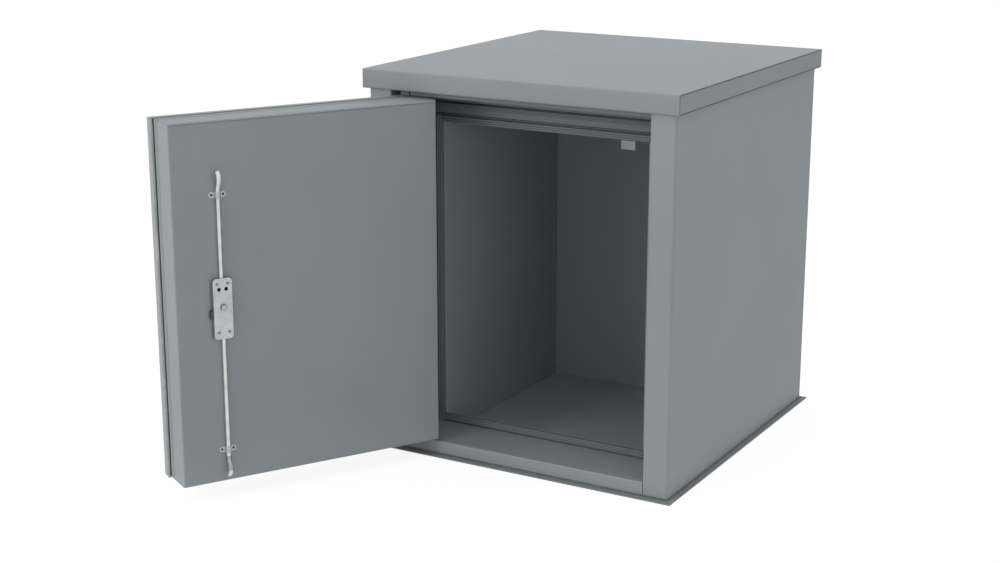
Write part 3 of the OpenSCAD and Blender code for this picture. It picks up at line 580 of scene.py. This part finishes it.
class Look(Enum):
    """The finishes of this cabinet."""

    CABINET = Paint("paint_cabinet", linear(144, 151, 156))
    FRAME = Paint("paint_frame", linear(137, 144, 149))
    # Darker copy of the frame paint for the header, upper frame and hinge block: painted shade under the
    # roof.
    MOUTH_SHADED = Paint("paint_mouth_shaded", linear(112, 119, 121))
    DOOR = Paint("paint_door", linear(142, 150, 154))
    HEM = Paint("paint_hem", linear(132, 140, 143))
    LINER = Paint("paint_liner", linear(146, 153, 157), 0.58, 0.3)
    ROOF = RoofPaint("paint_roof", linear(138, 145, 150))
    BASE = BasePaint("paint_base", linear(163, 170, 174), 0.6, 0.9)
    CASE = Paint("paint_case", linear(118, 125, 128), 0.5, 0.2)
    LIP = Paint("paint_moulding", linear(154, 159, 160), 0.5, 0.2)
    SEAL_TOP = Ribbed("rubber_seal_top", linear(122, 128, 130), "gasket_top", "Z", 3)
    SEAL_LOW = Ribbed("rubber_seal_low", linear(124, 130, 132), "gasket_bottom", "Z", 3)
    SEAL_LEFT = Ribbed("rubber_seal_left", linear(130, 136, 138), "gasket_left", "X", 3)
    SEAL_RIGHT = Ribbed("rubber_seal_right", linear(130, 136, 138), "gasket_right", "X", 3)
    RIBS = Ribbed("ribbed_sheet", linear(124, 131, 133), "ribbed_strip", "Z", 4)
    GROOVE = Rubber("rubber_groove", linear(146, 153, 153))
    JOINT = Rubber("rubber_joint", linear(66, 72, 73), 0.8)
    # Grey sealant of the base fillet; as the bead in the door frame's gap it is painted shade.
    SEALANT_AND_SHADE = Rubber("grey_sealant_and_shade", linear(92, 99, 100), 0.7)
    # Very pale strip on the rear of the leaf's flange: painted light.
    STRIP = Rubber("pale_strip_painted_light", linear(198, 203, 204), 0.75)
    ZINC = Plated("zinc_drawn", linear(207, 212, 211))
    ZINC_FLAT = Plated("zinc_sheet", linear(188, 189, 193), 0.42, 0.75, ROLLED)
    EAR = Plated("zinc_pressed", linear(176, 182, 182), 0.45, 0.75, ROLLED)
    HOOK = ShadedEnd("zinc_hook_shaded", linear(207, 212, 211))
    DULL = Plated("zinc_dull", linear(130, 136, 138), 0.55, 0.5, ROLLED)
    GEAR = Plated("steel_gear", linear(128, 131, 134), 0.32, 0.95, (400.0, 400.0, 400.0))
    SCREW = Plated("steel_screw", linear(72, 75, 77), 0.4, 0.8, TURNED)
    # Black steel; on the strip above the ribbed strip it is painted shade.
    DARK = Plated("black_steel_and_shade", linear(40, 42, 45), 0.5, 0.4, (500.0, 500.0, 120.0))
    BRONZE = Plated("bronze_bush", linear(176, 148, 92), 0.34, 0.95, (500.0, 500.0, 60.0))
    FIBRE = Fibre("fibre_board", linear(196, 190, 160))
    # Darkened fibre for the door's core: painted shade where it shows in the groove's gap.
    CORE = Fibre("fibre_core_shaded", linear(58, 60, 60))
    FLOOR = Ground("studio_floor", (0.86, 0.86, 0.87))


@dataclass
class Skin:
    """A surface worked out as arrays: points and the faces between them."""

    points: np.ndarray
    faces: np.ndarray
    caps: list[np.ndarray] = field(default_factory=list)

    def joined(self, other: "Skin") -> "Skin":
        """Two surfaces as one.

        Args:
            other: the second surface.

        Returns:
            The joined surface.
        """
        start = len(self.points)
        points = np.vstack([self.points, other.points])
        caps = self.caps + [cap + start for cap in other.caps]
        return Skin(points, np.vstack([self.faces, other.faces + start]), caps)

    def moved(self, matrix: Matrix) -> "Skin":
        """The surface after a turn and a shift."""
        turn = np.array(matrix)
        return Skin(self.points @ turn[:3, :3].T + turn[:3, 3], self.faces, self.caps)

    def add(self, name: str, look: Look, body: str, smooth: bool = True) -> bpy.types.Object:
        """Makes the surface a piece of the scene that rides on a body.

        Args:
            name: the piece's name.
            look: its finish.
            body: the body that it rides on.
            smooth: shade it smooth with sharp edges kept.

        Returns:
            The piece.
        """
        mesh = bpy.data.meshes.new(name)
        faces = self.faces.tolist() + [cap.tolist() for cap in self.caps]
        mesh.from_pydata(self.points.tolist(), [], faces)
        shell = bmesh.new()
        shell.from_mesh(mesh)
        bmesh.ops.recalc_face_normals(shell, faces=shell.faces)
        shell.to_mesh(mesh)
        shell.free()
        mesh.validate()
        if smooth:
            mesh.polygons.foreach_set("use_smooth", np.ones(len(mesh.polygons), dtype=bool))
            mesh.set_sharp_from_angle(angle=SHARP_ANGLE)
        mesh.materials.append(look.value.make())
        piece = bpy.data.objects.new(name, mesh)
        bpy.context.scene.collection.objects.link(piece)
        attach(piece, body)
        log.info("%s: %d faces on %s", name, len(self.faces), body)
        return piece


def grid_faces(rows: int, columns: int, closed: bool = True, looped: bool = False) -> np.ndarray:
    """Quads between the points of a grid.

    Args:
        rows: number of rings.
        columns: points in each ring.
        closed: join the last column to the first.
        looped: join the last ring to the first.

    Returns:
        Corner numbers, four a face. Face i, j joins point i, j with its
        neighbours in the next column and the next row.
    """
    down = np.arange(rows if looped else rows - 1)
    along = np.arange(columns if closed else columns - 1)
    i, j = np.meshgrid(down, along, indexing="ij")
    k, n = (j + 1) % columns, (i + 1) % rows
    corners = [i * columns + j, i * columns + k, n * columns + k, n * columns + j]
    return np.stack(corners, -1).reshape(-1, 4)


def lathe(profile: Sequence[Pair], around: int = 32, looped: bool = False) -> Skin:
    """Surface of revolution about Z.

    Args:
        profile: radius and height pairs.
        around: number of columns.
        looped: the profile is a closed ring; otherwise both ends are closed by a flat face.

    Returns:
        The surface: each pair r, z gives the ring r cos t, r sin t, z.
    """
    pairs = np.array(profile)
    t = np.linspace(0, 2 * math.pi, around, endpoint=False)
    ring = np.stack([np.cos(t), np.sin(t)], -1)
    flat, up = pairs[:, None, :1] * ring[None], np.repeat(pairs[:, None, 1:], around, 1)
    points = np.concatenate([flat, up], -1).reshape(-1, 3)
    ends = [] if looped else [np.arange(around), np.arange(around) + (len(pairs) - 1) * around]
    return Skin(points, grid_faces(len(pairs), around, True, looped), ends)


def rounded(half: Pair, radii: Sequence[float], inset: float) -> np.ndarray:
    """Outline of a rectangle with rounded corners, drawn in by an inset.

    Args:
        half: half width and half height.
        radii: corner radii at right top, left top, left bottom and right bottom.
        inset: how far the outline is drawn in; negative draws it out.

    Returns:
        Points as pairs. A corner with centre c and radius r gives c plus r times cos t, sin t
        over a quarter turn; inset takes the same amount from the radius and leaves the centre.
    """
    signs = np.array([(1, 1), (-1, 1), (-1, -1), (1, -1)], dtype=float)
    radius = np.array(radii, dtype=float)[:, None]
    centre = signs * (np.array(half)[None] - radius)
    quarter = np.linspace(0, math.pi / 2, CORNER_STEPS + 1)
    t = np.arange(4)[:, None] * math.pi / 2 + quarter[None]
    reach = (radius - inset)[:, :, None] * np.stack([np.cos(t), np.sin(t)], -1)
    return (centre[:, None] + reach).reshape(-1, 2)


def stacked(half: Pair, radii: Sequence[float], section: Sequence[Pair]) -> np.ndarray:
    """Outlines of a rounded rectangle, one above the other.

    Args:
        half: half width and half height of the outline.
        radii: its corner radii.
        section: pairs of inset and height.

    Returns:
        Points, ring by ring: each pair gives the outline at its inset, lifted to its height.
    """
    rings = [rounded(half, radii, inset) for inset, _ in section]
    return np.concatenate([np.column_stack([ring, np.full(len(ring), up)])
                           for ring, (_, up) in zip(rings, section)])


def band(half: Pair, radii: Sequence[float], section: Sequence[Pair]) -> Skin:
    """Closed section carried round a rounded rectangle in the X, Y plane.

    Args:
        half: half width and half height of the outline.
        radii: its corner radii.
        section: closed outline as pairs of inset and height.

    Returns:
        The ring-shaped surface.
    """
    points = stacked(half, radii, section)
    return Skin(points, grid_faces(len(section), len(points) // len(section), True, True))


def plate(half: Pair, radii: Sequence[float], thick: float, edge: float) -> Skin:
    """Flat plate in the X, Y plane with rounded corners and eased edges.

    Args:
        half: half width and half height.
        radii: corner radii.
        thick: thickness, upwards from zero.
        edge: how far the edges are eased.

    Returns:
        The closed plate: four outlines joined by quads, with a flat face at each end.
    """
    section = ((edge, 0.0), (0.0, edge), (0.0, thick - edge), (edge, thick))
    points = stacked(half, radii, section)
    count = len(points) // len(section)
    ends = [np.arange(count), np.arange(count) + (len(section) - 1) * count]
    return Skin(points, grid_faces(len(section), count), ends)


@dataclass(frozen=True)
class Bar:
    """Section of a flat bar: half width, corner radius, thickness and how far its edges are eased."""

    half: float
    corner: float
    thick: float
    edge: float

    def lying(self, reach: float) -> Skin:
        """The bar along X, reaching as far to both sides."""
        return plate((reach, self.half), (self.corner,) * 4, self.thick, self.edge)

    def upright(self, reach: float) -> Skin:
        """The bar along Y, reaching as far up and down."""
        return plate((self.half, reach), (self.corner,) * 4, self.thick, self.edge)


def laid(centre: Sequence[float], right: Sequence[float], up: Sequence[float]) -> Matrix:
    """Placement that lays a shape's X along one direction and its Y along another.

    Args:
        centre: where the shape's origin goes.
        right: direction of its X axis.
        up: direction of its Y axis; its Z axis is across both.

    Returns:
        The placement.
    """
    x, y = Vector(right), Vector(up)
    turn = Matrix((x, y, x.cross(y))).transposed().to_4x4()
    return Matrix.Translation(Vector(centre)) @ turn


def aimed(point: Sequence[float], normal: Sequence[float]) -> Matrix:
    """Placement whose Z axis points along a normal."""
    turn = Vector(normal).to_track_quat("Z", "Y").to_matrix().to_4x4()
    return Matrix.Translation(Vector(point)) @ turn


def opened() -> tuple[Matrix, Matrix]:
    """Placements of the opened door and of its lock, from the frame's joints.

    Returns:
        The turn that takes the closed door to its place, back about the hinge by the joint's
        whole range; and the lock's axes, at the spindle and turned by the same angle.
    """
    joints = {joint["name"]: joint for joint in frame["joints"]}
    hinge = joints["door_hinge"]
    axis = Matrix.Translation(Vector(hinge["pos_m"]))
    turn = Matrix.Rotation(-math.radians(hinge["range_deg"][1]), 4, Vector(hinge["axis"]))
    return axis @ turn @ axis.inverted(), Matrix.Translation(Vector(joints["spindle_turn"]["pos_m"])) @ turn


DOOR_PLACE, LOCK_PLACE = opened()


@dataclass
class Assembly:
    """A group of frame nodes with their finishes."""

    nodes: dict[str, Look] = field(default_factory=dict)

    def dress(self) -> None:
        """Gives each node of the group its finish."""
        for name, look in self.nodes.items():
            piece = frame["nodes"][name]
            piece.data.materials.clear()
            piece.data.materials.append(look.value.make())
            log.info("%s dressed in %s", name, look.value.name)

    def build(self) -> None:
        """Adds the group's own fine pieces."""


@dataclass
class Body(Assembly):
    """Outer shell: base plate, side panels, back, sill and roof."""

    nodes: dict[str, Look] = field(default_factory=lambda: {
        "base_plate": Look.BASE, "side_panel_left": Look.CABINET, "side_panel_right": Look.CABINET,
        "back_panel": Look.CABINET, "back_rivets": Look.ZINC, "sill": Look.CABINET,
        "roof_skin": Look.CABINET, "roof_base": Look.FRAME, "roof_core": Look.GROOVE,
        "roof_end_left": Look.CABINET, "roof_end_right": Look.CABINET,
        "insulation_left": Look.FIBRE, "insulation_right": Look.FIBRE, "insulation_back": Look.FIBRE,
        "insulation_top": Look.FIBRE})
    walls: Box = field(default_factory=lambda: Box.of("side_panel_right"))
    base: Box = field(default_factory=lambda: Box.of("base_plate"))
    cap: Box = field(default_factory=lambda: Box.of("roof_skin"))
    wall_corner: float = 0.006
    bends: tuple[float, float, float, float] = (0.005, 0.005, 0.006, 0.006)
    gauge: float = 0.002
    edge: float = 0.0004
    end_inset: float = 0.0028
    end_corner: float = 0.0032
    end_edge: float = 0.0003
    fillet_profile: Profile = ((0.0006, -0.0004), (0.0006, 0.0044), (-0.0003, 0.0044), (-0.0012, 0.0022),
                               (-0.0026, 0.0009), (-0.0044, 0.0002), (-0.0044, -0.0004))
    seam_profile: Profile = ((0.0014, -0.0002), (0.0014, 0.0002), (0.0018, 0.00035), (0.0032, 0.00035),
                             (0.0036, 0.0002), (0.0036, -0.0002))

    def across(self, x: float, side: float = 1.0) -> Matrix:
        """Placement on a plane across the roof, at x, facing out of that side."""
        return laid((x, self.cap.centre.y, self.cap.centre.z), (0.0, side, 0.0), ALONG_Z)

    def fillet(self) -> Skin:
        """Sealing fillet of 4 mm between the walls and the base flange.

        Returns:
            A hollow-faced ring round the foot of the walls.
        """
        half = (self.walls.high.x, self.walls.high.y)
        ring = band(half, (self.wall_corner,) * 4, self.fillet_profile)
        return ring.moved(Matrix.Translation((0.0, 0.0, self.base.high.z)))

    def seam(self, side: float) -> Skin:
        """Filled seam round a roof end plate.

        Args:
            side: 1 for the right end, -1 for the left one.

        Returns:
            A ribbon 2.2 mm wide, 0.35 mm proud, along the outline of the roof.
        """
        ring = band((self.cap.half.y, self.cap.half.z), self.bends, self.seam_profile)
        return ring.moved(self.across(side * self.cap.high.x, side))

    def sheet(self) -> Skin:
        """Folded roof sheet of 2 mm.

        Returns:
            A tube closed round front, top, rear and underside, open at both ends.
        """
        long = 2 * self.cap.half.x
        section = ((self.edge, 0.0), (0.0, self.edge), (0.0, long - self.edge), (self.edge, long),
                   (self.gauge, long), (self.gauge, 0.0))
        tube = band((self.cap.half.y, self.cap.half.z), self.bends, section)
        return tube.moved(self.across(self.cap.low.x))

    def end(self, side: float) -> Skin:
        """End plate of the roof, set into the folded sheet.

        Args:
            side: 1 for the right end, -1 for the left one.

        Returns:
            A plate 2 mm thick whose face is flush with the sheet's edge.
        """
        half = (self.cap.half.y - self.end_inset, self.cap.half.z - self.end_inset)
        flat = plate(half, (self.end_corner,) * 4, self.gauge, self.end_edge)
        return flat.moved(self.across(side * (self.cap.high.x - self.gauge), side))

    def build(self) -> None:
        """Adds the roof sheet with its end plates, the seams and the sealing fillet."""
        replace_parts(self.sheet().add("roof_sheet", Look.ROOF, "cabinet"), "roof_skin", "roof_base")
        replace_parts(self.end(1.0).add("roof_plate_right", Look.ROOF, "cabinet"), "roof_end_right")
        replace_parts(self.end(-1.0).add("roof_plate_left", Look.ROOF, "cabinet"), "roof_end_left")
        self.fillet().add("base_fillet", Look.SEALANT_AND_SHADE, "cabinet")
        self.seam(1.0).add("roof_seam_right", Look.JOINT, "cabinet")
        self.seam(-1.0).add("roof_seam_left", Look.JOINT, "cabinet")


@dataclass
class Mouth(Assembly):
    """Door frame: header, jambs, upstand, gaskets and hinge seats."""

    nodes: dict[str, Look] = field(default_factory=lambda: {
        "header": Look.MOUTH_SHADED, "top_frame": Look.MOUTH_SHADED, "ribbed_strip": Look.RIBS,
        "jamb_left": Look.FRAME, "jamb_right": Look.FRAME, "upstand": Look.FRAME,
        "gasket_top": Look.SEAL_TOP, "gasket_bottom": Look.SEAL_LOW, "gasket_left": Look.SEAL_LEFT,
        "gasket_right": Look.SEAL_RIGHT, "keep": Look.DULL, "hinge_block": Look.MOUTH_SHADED,
        "hinge_plate_bottom": Look.ZINC_FLAT, "pin_top": Look.ZINC, "pin_bottom": Look.ZINC,
        "thrust_washer": Look.BRONZE})
    head: Box = field(default_factory=lambda: Box.of("top_frame"))
    jamb: Box = field(default_factory=lambda: Box.of("jamb_right"))
    strip: Box = field(default_factory=lambda: Box.of("ribbed_strip"))
    sill: Box = field(default_factory=lambda: Box.of("sill"))
    joint_profile: Profile = ((0.0, 0.0), (0.0004, 0.0019), (0.0016, 0.0029), (0.0030, 0.0032),
                              (0.0044, 0.0029), (0.0056, 0.0019), (0.0060, 0.0))
    joint_corner: float = 0.008
    joint_sunk: float = 0.0002
    side_gap: float = 0.0006
    head_gap: float = 0.0005
    sill_gap: float = 0.0004
    shadow_bar: Bar = Bar(0.0023, 0.0011, 0.0016, 0.0005)
    shadow_short: float = 0.0002
    shadow_sunk: float = 0.0003
    shadow_gap: float = 0.0005

    def joint(self) -> Skin:
        """Dark bead in the gap between the sheet frame and the gaskets: painted shade of the gap.

        Returns:
            A ring 6 mm wide, from just above the sill to just below the upper frame.
        """
        low, high = self.sill.high.z + self.sill_gap, self.head.low.z - self.head_gap
        half = (self.jamb.low.x - self.side_gap, (high - low) / 2)
        middle = (0.0, self.head.high.y - self.joint_sunk, (high + low) / 2)
        ring = band(half, (self.joint_corner,) * 4, self.joint_profile)
        return ring.moved(laid(middle, ALONG_X, ALONG_Z))

    def shadow_strip(self) -> Skin:
        """Dark strip just above the ribbed strip: painted shade under the header's lower edge.

        Returns:
            A flat bar 4.6 mm high along the upper frame.
        """
        height = self.strip.high.z + self.shadow_bar.half + self.shadow_gap
        bar = self.shadow_bar.lying(self.head.half.x - self.shadow_short)
        return bar.moved(laid((0.0, self.head.low.y + self.shadow_sunk, height), ALONG_X, ALONG_Z))

    def build(self) -> None:
        """Adds the dark bead in the frame's gap and the dark strip above the ribbed strip, both painted
        shade.
        """
        # Painted shade: a dark bead fills the gap round the gaskets.
        self.joint().add("frame_joint", Look.SEALANT_AND_SHADE, "cabinet")
        # Painted shade: a dark strip below the header's lower edge.
        self.shadow_strip().add("frame_shadow_strip", Look.DARK, "cabinet")


@dataclass
class Inside(Assembly):
    """Liner sheets of the storage space."""

    nodes: dict[str, Look] = field(default_factory=lambda: {
        "liner_left": Look.LINER, "liner_right": Look.LINER, "liner_back": Look.LINER,
        "liner_ceiling": Look.LINER})


@dataclass
class Door(Assembly):
    """Door leaf, tray, groove and hinge bushes, worked out on the closed door."""

    nodes: dict[str, Look] = field(default_factory=lambda: {
        "door_leaf": Look.DOOR, "door_tray": Look.DOOR, "door_groove": Look.GROOVE,
        "door_core": Look.CORE, "bush_top": Look.BRONZE, "bush_bottom": Look.BRONZE})
    leaf: Box = field(default_factory=lambda: Box.of("door_leaf", DOOR_PLACE))
    tray: Box = field(default_factory=lambda: Box.of("door_tray", DOOR_PLACE))
    lip_corners: tuple[float, float, float, float] = (0.0022, 0.0012, 0.0012, 0.0065)
    lip_half: float = 0.0039
    lip_depth: float = 0.0212
    lip_edge: float = 0.0009
    lip_past: float = 0.0034
    lip_behind: float = 0.0006
    lip_rise: float = 0.0010
    strip_bar: Bar = Bar(0.0031, 0.0008, 0.0010, 0.0003)
    strip_past: float = 0.0036
    strip_behind: float = 0.0015
    strip_short: float = 0.002
    cap_bar: Bar = Bar(0.0095, 0.002, 0.0014, 0.0004)
    cap_reach: float = 0.345
    cap_shift: float = 0.0200
    cap_sunk: float = 0.0002
    hem_profile: Profile = ((0.0006, 0.0003), (0.0006, 0.0200), (-0.0003, 0.0200), (-0.0008, 0.0195),
                            (-0.0008, 0.0008), (-0.0003, 0.0003))
    hem_corner: float = 0.003
    plug_profile: Profile = ((0.0046, -0.004), (0.0046, 0.0012), (0.0040, 0.0024), (0.0024, 0.0033),
                             (0.0008, 0.0036))
    plug_sunk: float = 0.001
    plug_drop: float = 0.0055
    weld_radius: float = 0.0009
    weld_ease: float = 0.0008
    weld_point: float = 0.0002
    weld_sunk: float = 0.0006
    weld_ends: Pair = (0.0215, 0.0045)
    seam_bar: Bar = Bar(0.0012, 0.0006, 0.0004, 0.0001)
    seam_short: float = 0.005
    seam_sunk: float = 0.0001
    seam_drop: float = 0.0050

    def lip(self) -> Skin:
        """Pale edge moulding over the free side of the leaf.

        Returns:
            A bar 7.8 mm thick that wraps the flange and is as deep as the leaf.
        """
        tall = (self.tray.high.z + self.lip_rise - self.leaf.low.z) / 2
        bar = plate((self.lip_half, tall), self.lip_corners, self.lip_depth, self.lip_edge)
        x, y = self.tray.high.x + self.lip_past, self.leaf.high.y + self.lip_behind
        return bar.moved(laid((x, y, self.leaf.low.z + tall), ALONG_X, ALONG_Z))

    def strip(self) -> Skin:
        """Pale strip, 1 mm thick, on the rear of the leaf's flange: painted light standing in for the lit
        rear face of the flange.

        Returns:
            A flat bar that ends 2 mm before the flange's ends.
        """
        x, y = self.tray.high.x + self.strip_past, self.leaf.high.y + self.strip_behind
        bar = self.strip_bar.upright(self.leaf.half.z - self.strip_short)
        return bar.moved(laid((x, y, self.leaf.centre.z), ALONG_X, ALONG_Z))

    def cap(self) -> Skin:
        """Thin pale strip on the top edge of the leaf.

        Returns:
            A flat bar from the free side to near the hinge.
        """
        middle = (self.cap_shift, self.leaf.centre.y, self.leaf.high.z - self.cap_sunk)
        return self.cap_bar.lying(self.cap_reach).moved(laid(middle, ALONG_X, ALONG_Y))

    def hem(self) -> Skin:
        """Folded hem 20 mm wide around the tray, next to the groove.

        Returns:
            A thin ring that stands 0.8 mm out of the tray.
        """
        ring = band((self.tray.high.x, self.tray.half.z), (self.hem_corner,) * 4, self.hem_profile)
        return ring.moved(laid((0.0, self.tray.low.y, self.tray.centre.z), AGAINST_X, ALONG_Z))

    def plugs(self) -> Skin:
        """Two dark plugs at the corners of the groove on the free side.

        Returns:
            Both domes, pointing out of the free side.
        """
        dome = lathe(self.plug_profile)
        x, y = self.tray.high.x - self.plug_sunk, (self.leaf.high.y + self.tray.low.y) / 2
        upper = dome.moved(aimed((x, y, self.tray.high.z - self.plug_drop), ALONG_X))
        return upper.joined(dome.moved(aimed((x, y, self.tray.low.z + self.plug_drop), ALONG_X)))

    def welds(self) -> Skin:
        """Dressed welds, 1.8 mm wide, along the tray's two free corners.

        Returns:
            Both beads, from the hem to the inner face.
        """
        near, far = self.tray.low.y + self.weld_ends[0], self.tray.high.y - self.weld_ends[1]
        radius, ease, point, long = self.weld_radius, self.weld_ease, self.weld_point, far - near
        bead = lathe(((point, 0.0), (radius, ease), (radius, long - ease), (point, long)), 16)
        x = self.tray.high.x - self.weld_sunk
        upper = bead.moved(aimed((x, near, self.tray.high.z - self.weld_sunk), ALONG_Y))
        return upper.joined(bead.moved(aimed((x, near, self.tray.low.z + self.weld_sunk), ALONG_Y)))

    def seam(self) -> Skin:
        """Filled seam along the top of the inner face.

        Returns:
            A ribbon 2.4 mm wide, 5 mm below the tray's upper edge.
        """
        middle = (0.0, self.tray.high.y - self.seam_sunk, self.tray.high.z - self.seam_drop)
        ribbon = self.seam_bar.lying(self.tray.high.x - self.seam_short)
        return ribbon.moved(laid(middle, AGAINST_X, ALONG_Z))

    def build(self) -> None:
        """Adds the edge strips, the hem, the plugs, the welds and the seam, opened with the door."""
        pieces = (("leaf_lip", self.lip(), Look.LIP), ("leaf_cap", self.cap(), Look.LIP),
                  ("leaf_strip", self.strip(), Look.STRIP), ("tray_hem", self.hem(), Look.HEM),
                  ("groove_plugs", self.plugs(), Look.DARK), ("tray_welds", self.welds(), Look.CASE),
                  ("face_seam", self.seam(), Look.CASE))
        for name, skin, look in pieces:
            skin.moved(DOOR_PLACE).add(name, look, "door")


@dataclass
class Lock(Assembly):
    """Rod lock on the inner door face, worked out around its spindle."""

    nodes: dict[str, Look] = field(default_factory=lambda: {
        "lock_case": Look.CASE, "lock_plate": Look.ZINC_FLAT, "lock_screws": Look.GEAR,
        "side_block": Look.SCREW, "guide_upper": Look.EAR, "guide_lower": Look.EAR,
        "guide_screws": Look.SCREW, "key_rosette": Look.ZINC_FLAT, "spindle_bar": Look.ZINC_FLAT,
        "spindle_hub": Look.EAR, "pinion": Look.GEAR, "key_nut": Look.GEAR,
        "upper_rod": Look.ZINC, "upper_hook": Look.ZINC, "upper_rack": Look.GEAR,
        "lower_rod": Look.ZINC, "lower_hook": Look.HOOK, "lower_rack": Look.GEAR})
    plate: Box = field(default_factory=lambda: Box.of("lock_plate", LOCK_PLACE))
    corner: float = 0.006
    screw_x: float = 0.014
    screw_heights: Pair = (0.060, -0.0653)
    rim_profile: Profile = ((0.0022, -0.0002), (0.0026, 0.00032), (0.0036, 0.0004), (0.0042, -0.0002))
    screw_ring: Profile = ((0.0044, -0.0002), (0.0046, 0.0006), (0.0054, 0.0008), (0.0062, 0.0004),
                           (0.0064, -0.0002))
    hub_ring: Profile = ((0.01085, -0.0002), (0.0109, 0.0010), (0.0118, 0.0013), (0.0128, 0.0010),
                         (0.0136, -0.0002))

    def outline(self, inset: float) -> np.ndarray:
        """Eight corners of the cover plate, drawn in.

        Args:
            inset: how far inside the edge.

        Returns:
            Points in the plate's plane. The corner cut shrinks by 2 minus the root of 2
            times the inset, so that it stays as far inside as the edges do.
        """
        wide, high, low = self.plate.high.x - inset, self.plate.high.z - inset, self.plate.low.z + inset
        cut = self.corner - (2 - math.sqrt(2)) * inset
        return np.array([(-wide + cut, low), (wide - cut, low), (wide, low + cut), (wide, high - cut),
                         (wide - cut, high), (-wide + cut, high), (-wide, high - cut), (-wide, low + cut)])

    def rim(self) -> Skin:
        """Pressed rim a little inside the plate's edge.

        Returns:
            A ridge raised by 0.4 mm: each pair gives the outline at its inset and height.
        """
        rows = []
        for inset, up in self.rim_profile:
            edge = self.outline(inset)
            height = np.full(len(edge), self.plate.high.y + up)
            rows.append(np.column_stack([edge[:, 0], height, edge[:, 1]]))
        return Skin(np.vstack(rows), grid_faces(len(rows), len(rows[0]), True, True))

    def collars(self) -> Skin:
        """Raised rings around the four screws and around the spindle hub.

        Returns:
            All five rings.
        """
        small = lathe(self.screw_ring, 32, True)
        whole = lathe(self.hub_ring, 48, True).moved(aimed((0.0, self.plate.high.y, 0.0), ALONG_Y))
        for z in self.screw_heights:
            for x in (-self.screw_x, self.screw_x):
                whole = whole.joined(small.moved(aimed((x, self.plate.high.y, z), ALONG_Y)))
        return whole

    def build(self) -> None:
        """Adds the rim and the collars to the cover plate."""
        self.rim().moved(LOCK_PLACE).add("plate_rim", Look.ZINC_FLAT, "door", smooth=False)
        self.collars().moved(LOCK_PLACE).add("plate_collars", Look.ZINC_FLAT, "door")


@dataclass(frozen=True)
class Lamp:
    """A soft square lamp: where it stands, the point it faces, its side and its power in watts."""

    name: str
    place: Triple
    aim: Triple
    side: float
    power: float

    def light(self) -> None:
        """Adds the lamp to the scene."""
        data = bpy.data.lights.new(self.name, "AREA")
        data.size = self.side
        data.energy = self.power
        lamp = bpy.data.objects.new(self.name, data)
        lamp.matrix_world = aimed(self.place, Vector(self.place) - Vector(self.aim))
        bpy.context.scene.collection.objects.link(lamp)


@dataclass
class Studio:
    """Floor, world, lamps and the camera of the photograph."""

    place: Triple = (2.1747, -4.324, 1.7092)
    yaw: float = 30.0
    pitch: float = -15.0
    lens: float = 63.15
    sensor: float = 36.0
    ambient: float = 0.56
    floor_reach: float = 60.0
    floor_height: float = -0.0005
    lamps: tuple[Lamp, ...] = (Lamp("key", (-2.7, -4.5, 2.3), (-0.1, -0.4, 0.5), 3.2, 82.0),
                               Lamp("fill", (4.2, -2.4, 2.2), (0.0, 0.0, 0.5), 3.0, 16.0),
                               Lamp("top", (0.0, -0.3, 4.0), (0.0, 0.0, 0.5), 3.0, 24.0))

    def floor(self) -> None:
        """Large pale floor under the cabinet."""
        t = np.linspace(-self.floor_reach, self.floor_reach, 3)
        x, y = np.meshgrid(t, t, indexing="ij")
        points = np.stack([x, y, np.full_like(x, self.floor_height)], -1).reshape(-1, 3)
        mesh = bpy.data.meshes.new("studio_floor")
        mesh.from_pydata(points.tolist(), [], grid_faces(3, 3, False)[:, ::-1].tolist())
        mesh.materials.append(Look.FLOOR.value.make())
        piece = bpy.data.objects.new("studio_floor", mesh)
        bpy.context.scene.collection.objects.link(piece)

    def world(self) -> None:
        """White to the camera and in reflections, soft grey as a light."""
        world = bpy.data.worlds.new("studio")
        bpy.context.scene.world = world
        graph = Graph(world)
        kind = "ShaderNodeBackground"
        soft = graph.node(kind, {}, {"Color": WHITE, "Strength": self.ambient})["Background"]
        white = graph.node(kind, {}, {"Color": WHITE, "Strength": 1.0})["Background"]
        both = graph.node("ShaderNodeMixShader", {}, {0: graph.seen(), 1: soft, 2: white})["Shader"]
        graph.node("ShaderNodeOutputWorld", {}, {"Surface": both})

    def camera(self) -> None:
        """Camera at the place, turn and lens found from the vanishing points of the cabinet's edges."""
        data = bpy.data.cameras.new("photo_view")
        data.sensor_fit = "HORIZONTAL"
        data.sensor_width = self.sensor
        data.lens = self.lens
        camera = bpy.data.objects.new("photo_view", data)
        around = Matrix.Rotation(math.radians(self.yaw), 4, "Z")
        turn = around @ Matrix.Rotation(math.radians(90 + self.pitch), 4, "X")
        camera.matrix_world = Matrix.Translation(Vector(self.place)) @ turn
        bpy.context.scene.collection.objects.link(camera)
        bpy.context.scene.camera = camera

    def build(self) -> None:
        """Sets up the whole studio."""
        bpy.context.scene.view_settings.view_transform = "Standard"
        self.floor()
        self.world()
        for lamp in self.lamps:
            lamp.light()
        self.camera()


def main() -> None:
    """Dresses and builds the cabinet, then the studio."""
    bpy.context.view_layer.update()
    for part in (Body(), Mouth(), Inside(), Door(), Lock()):
        part.dress()
        part.build()
    Studio().build()


if __name__ == "__main__":
    main()
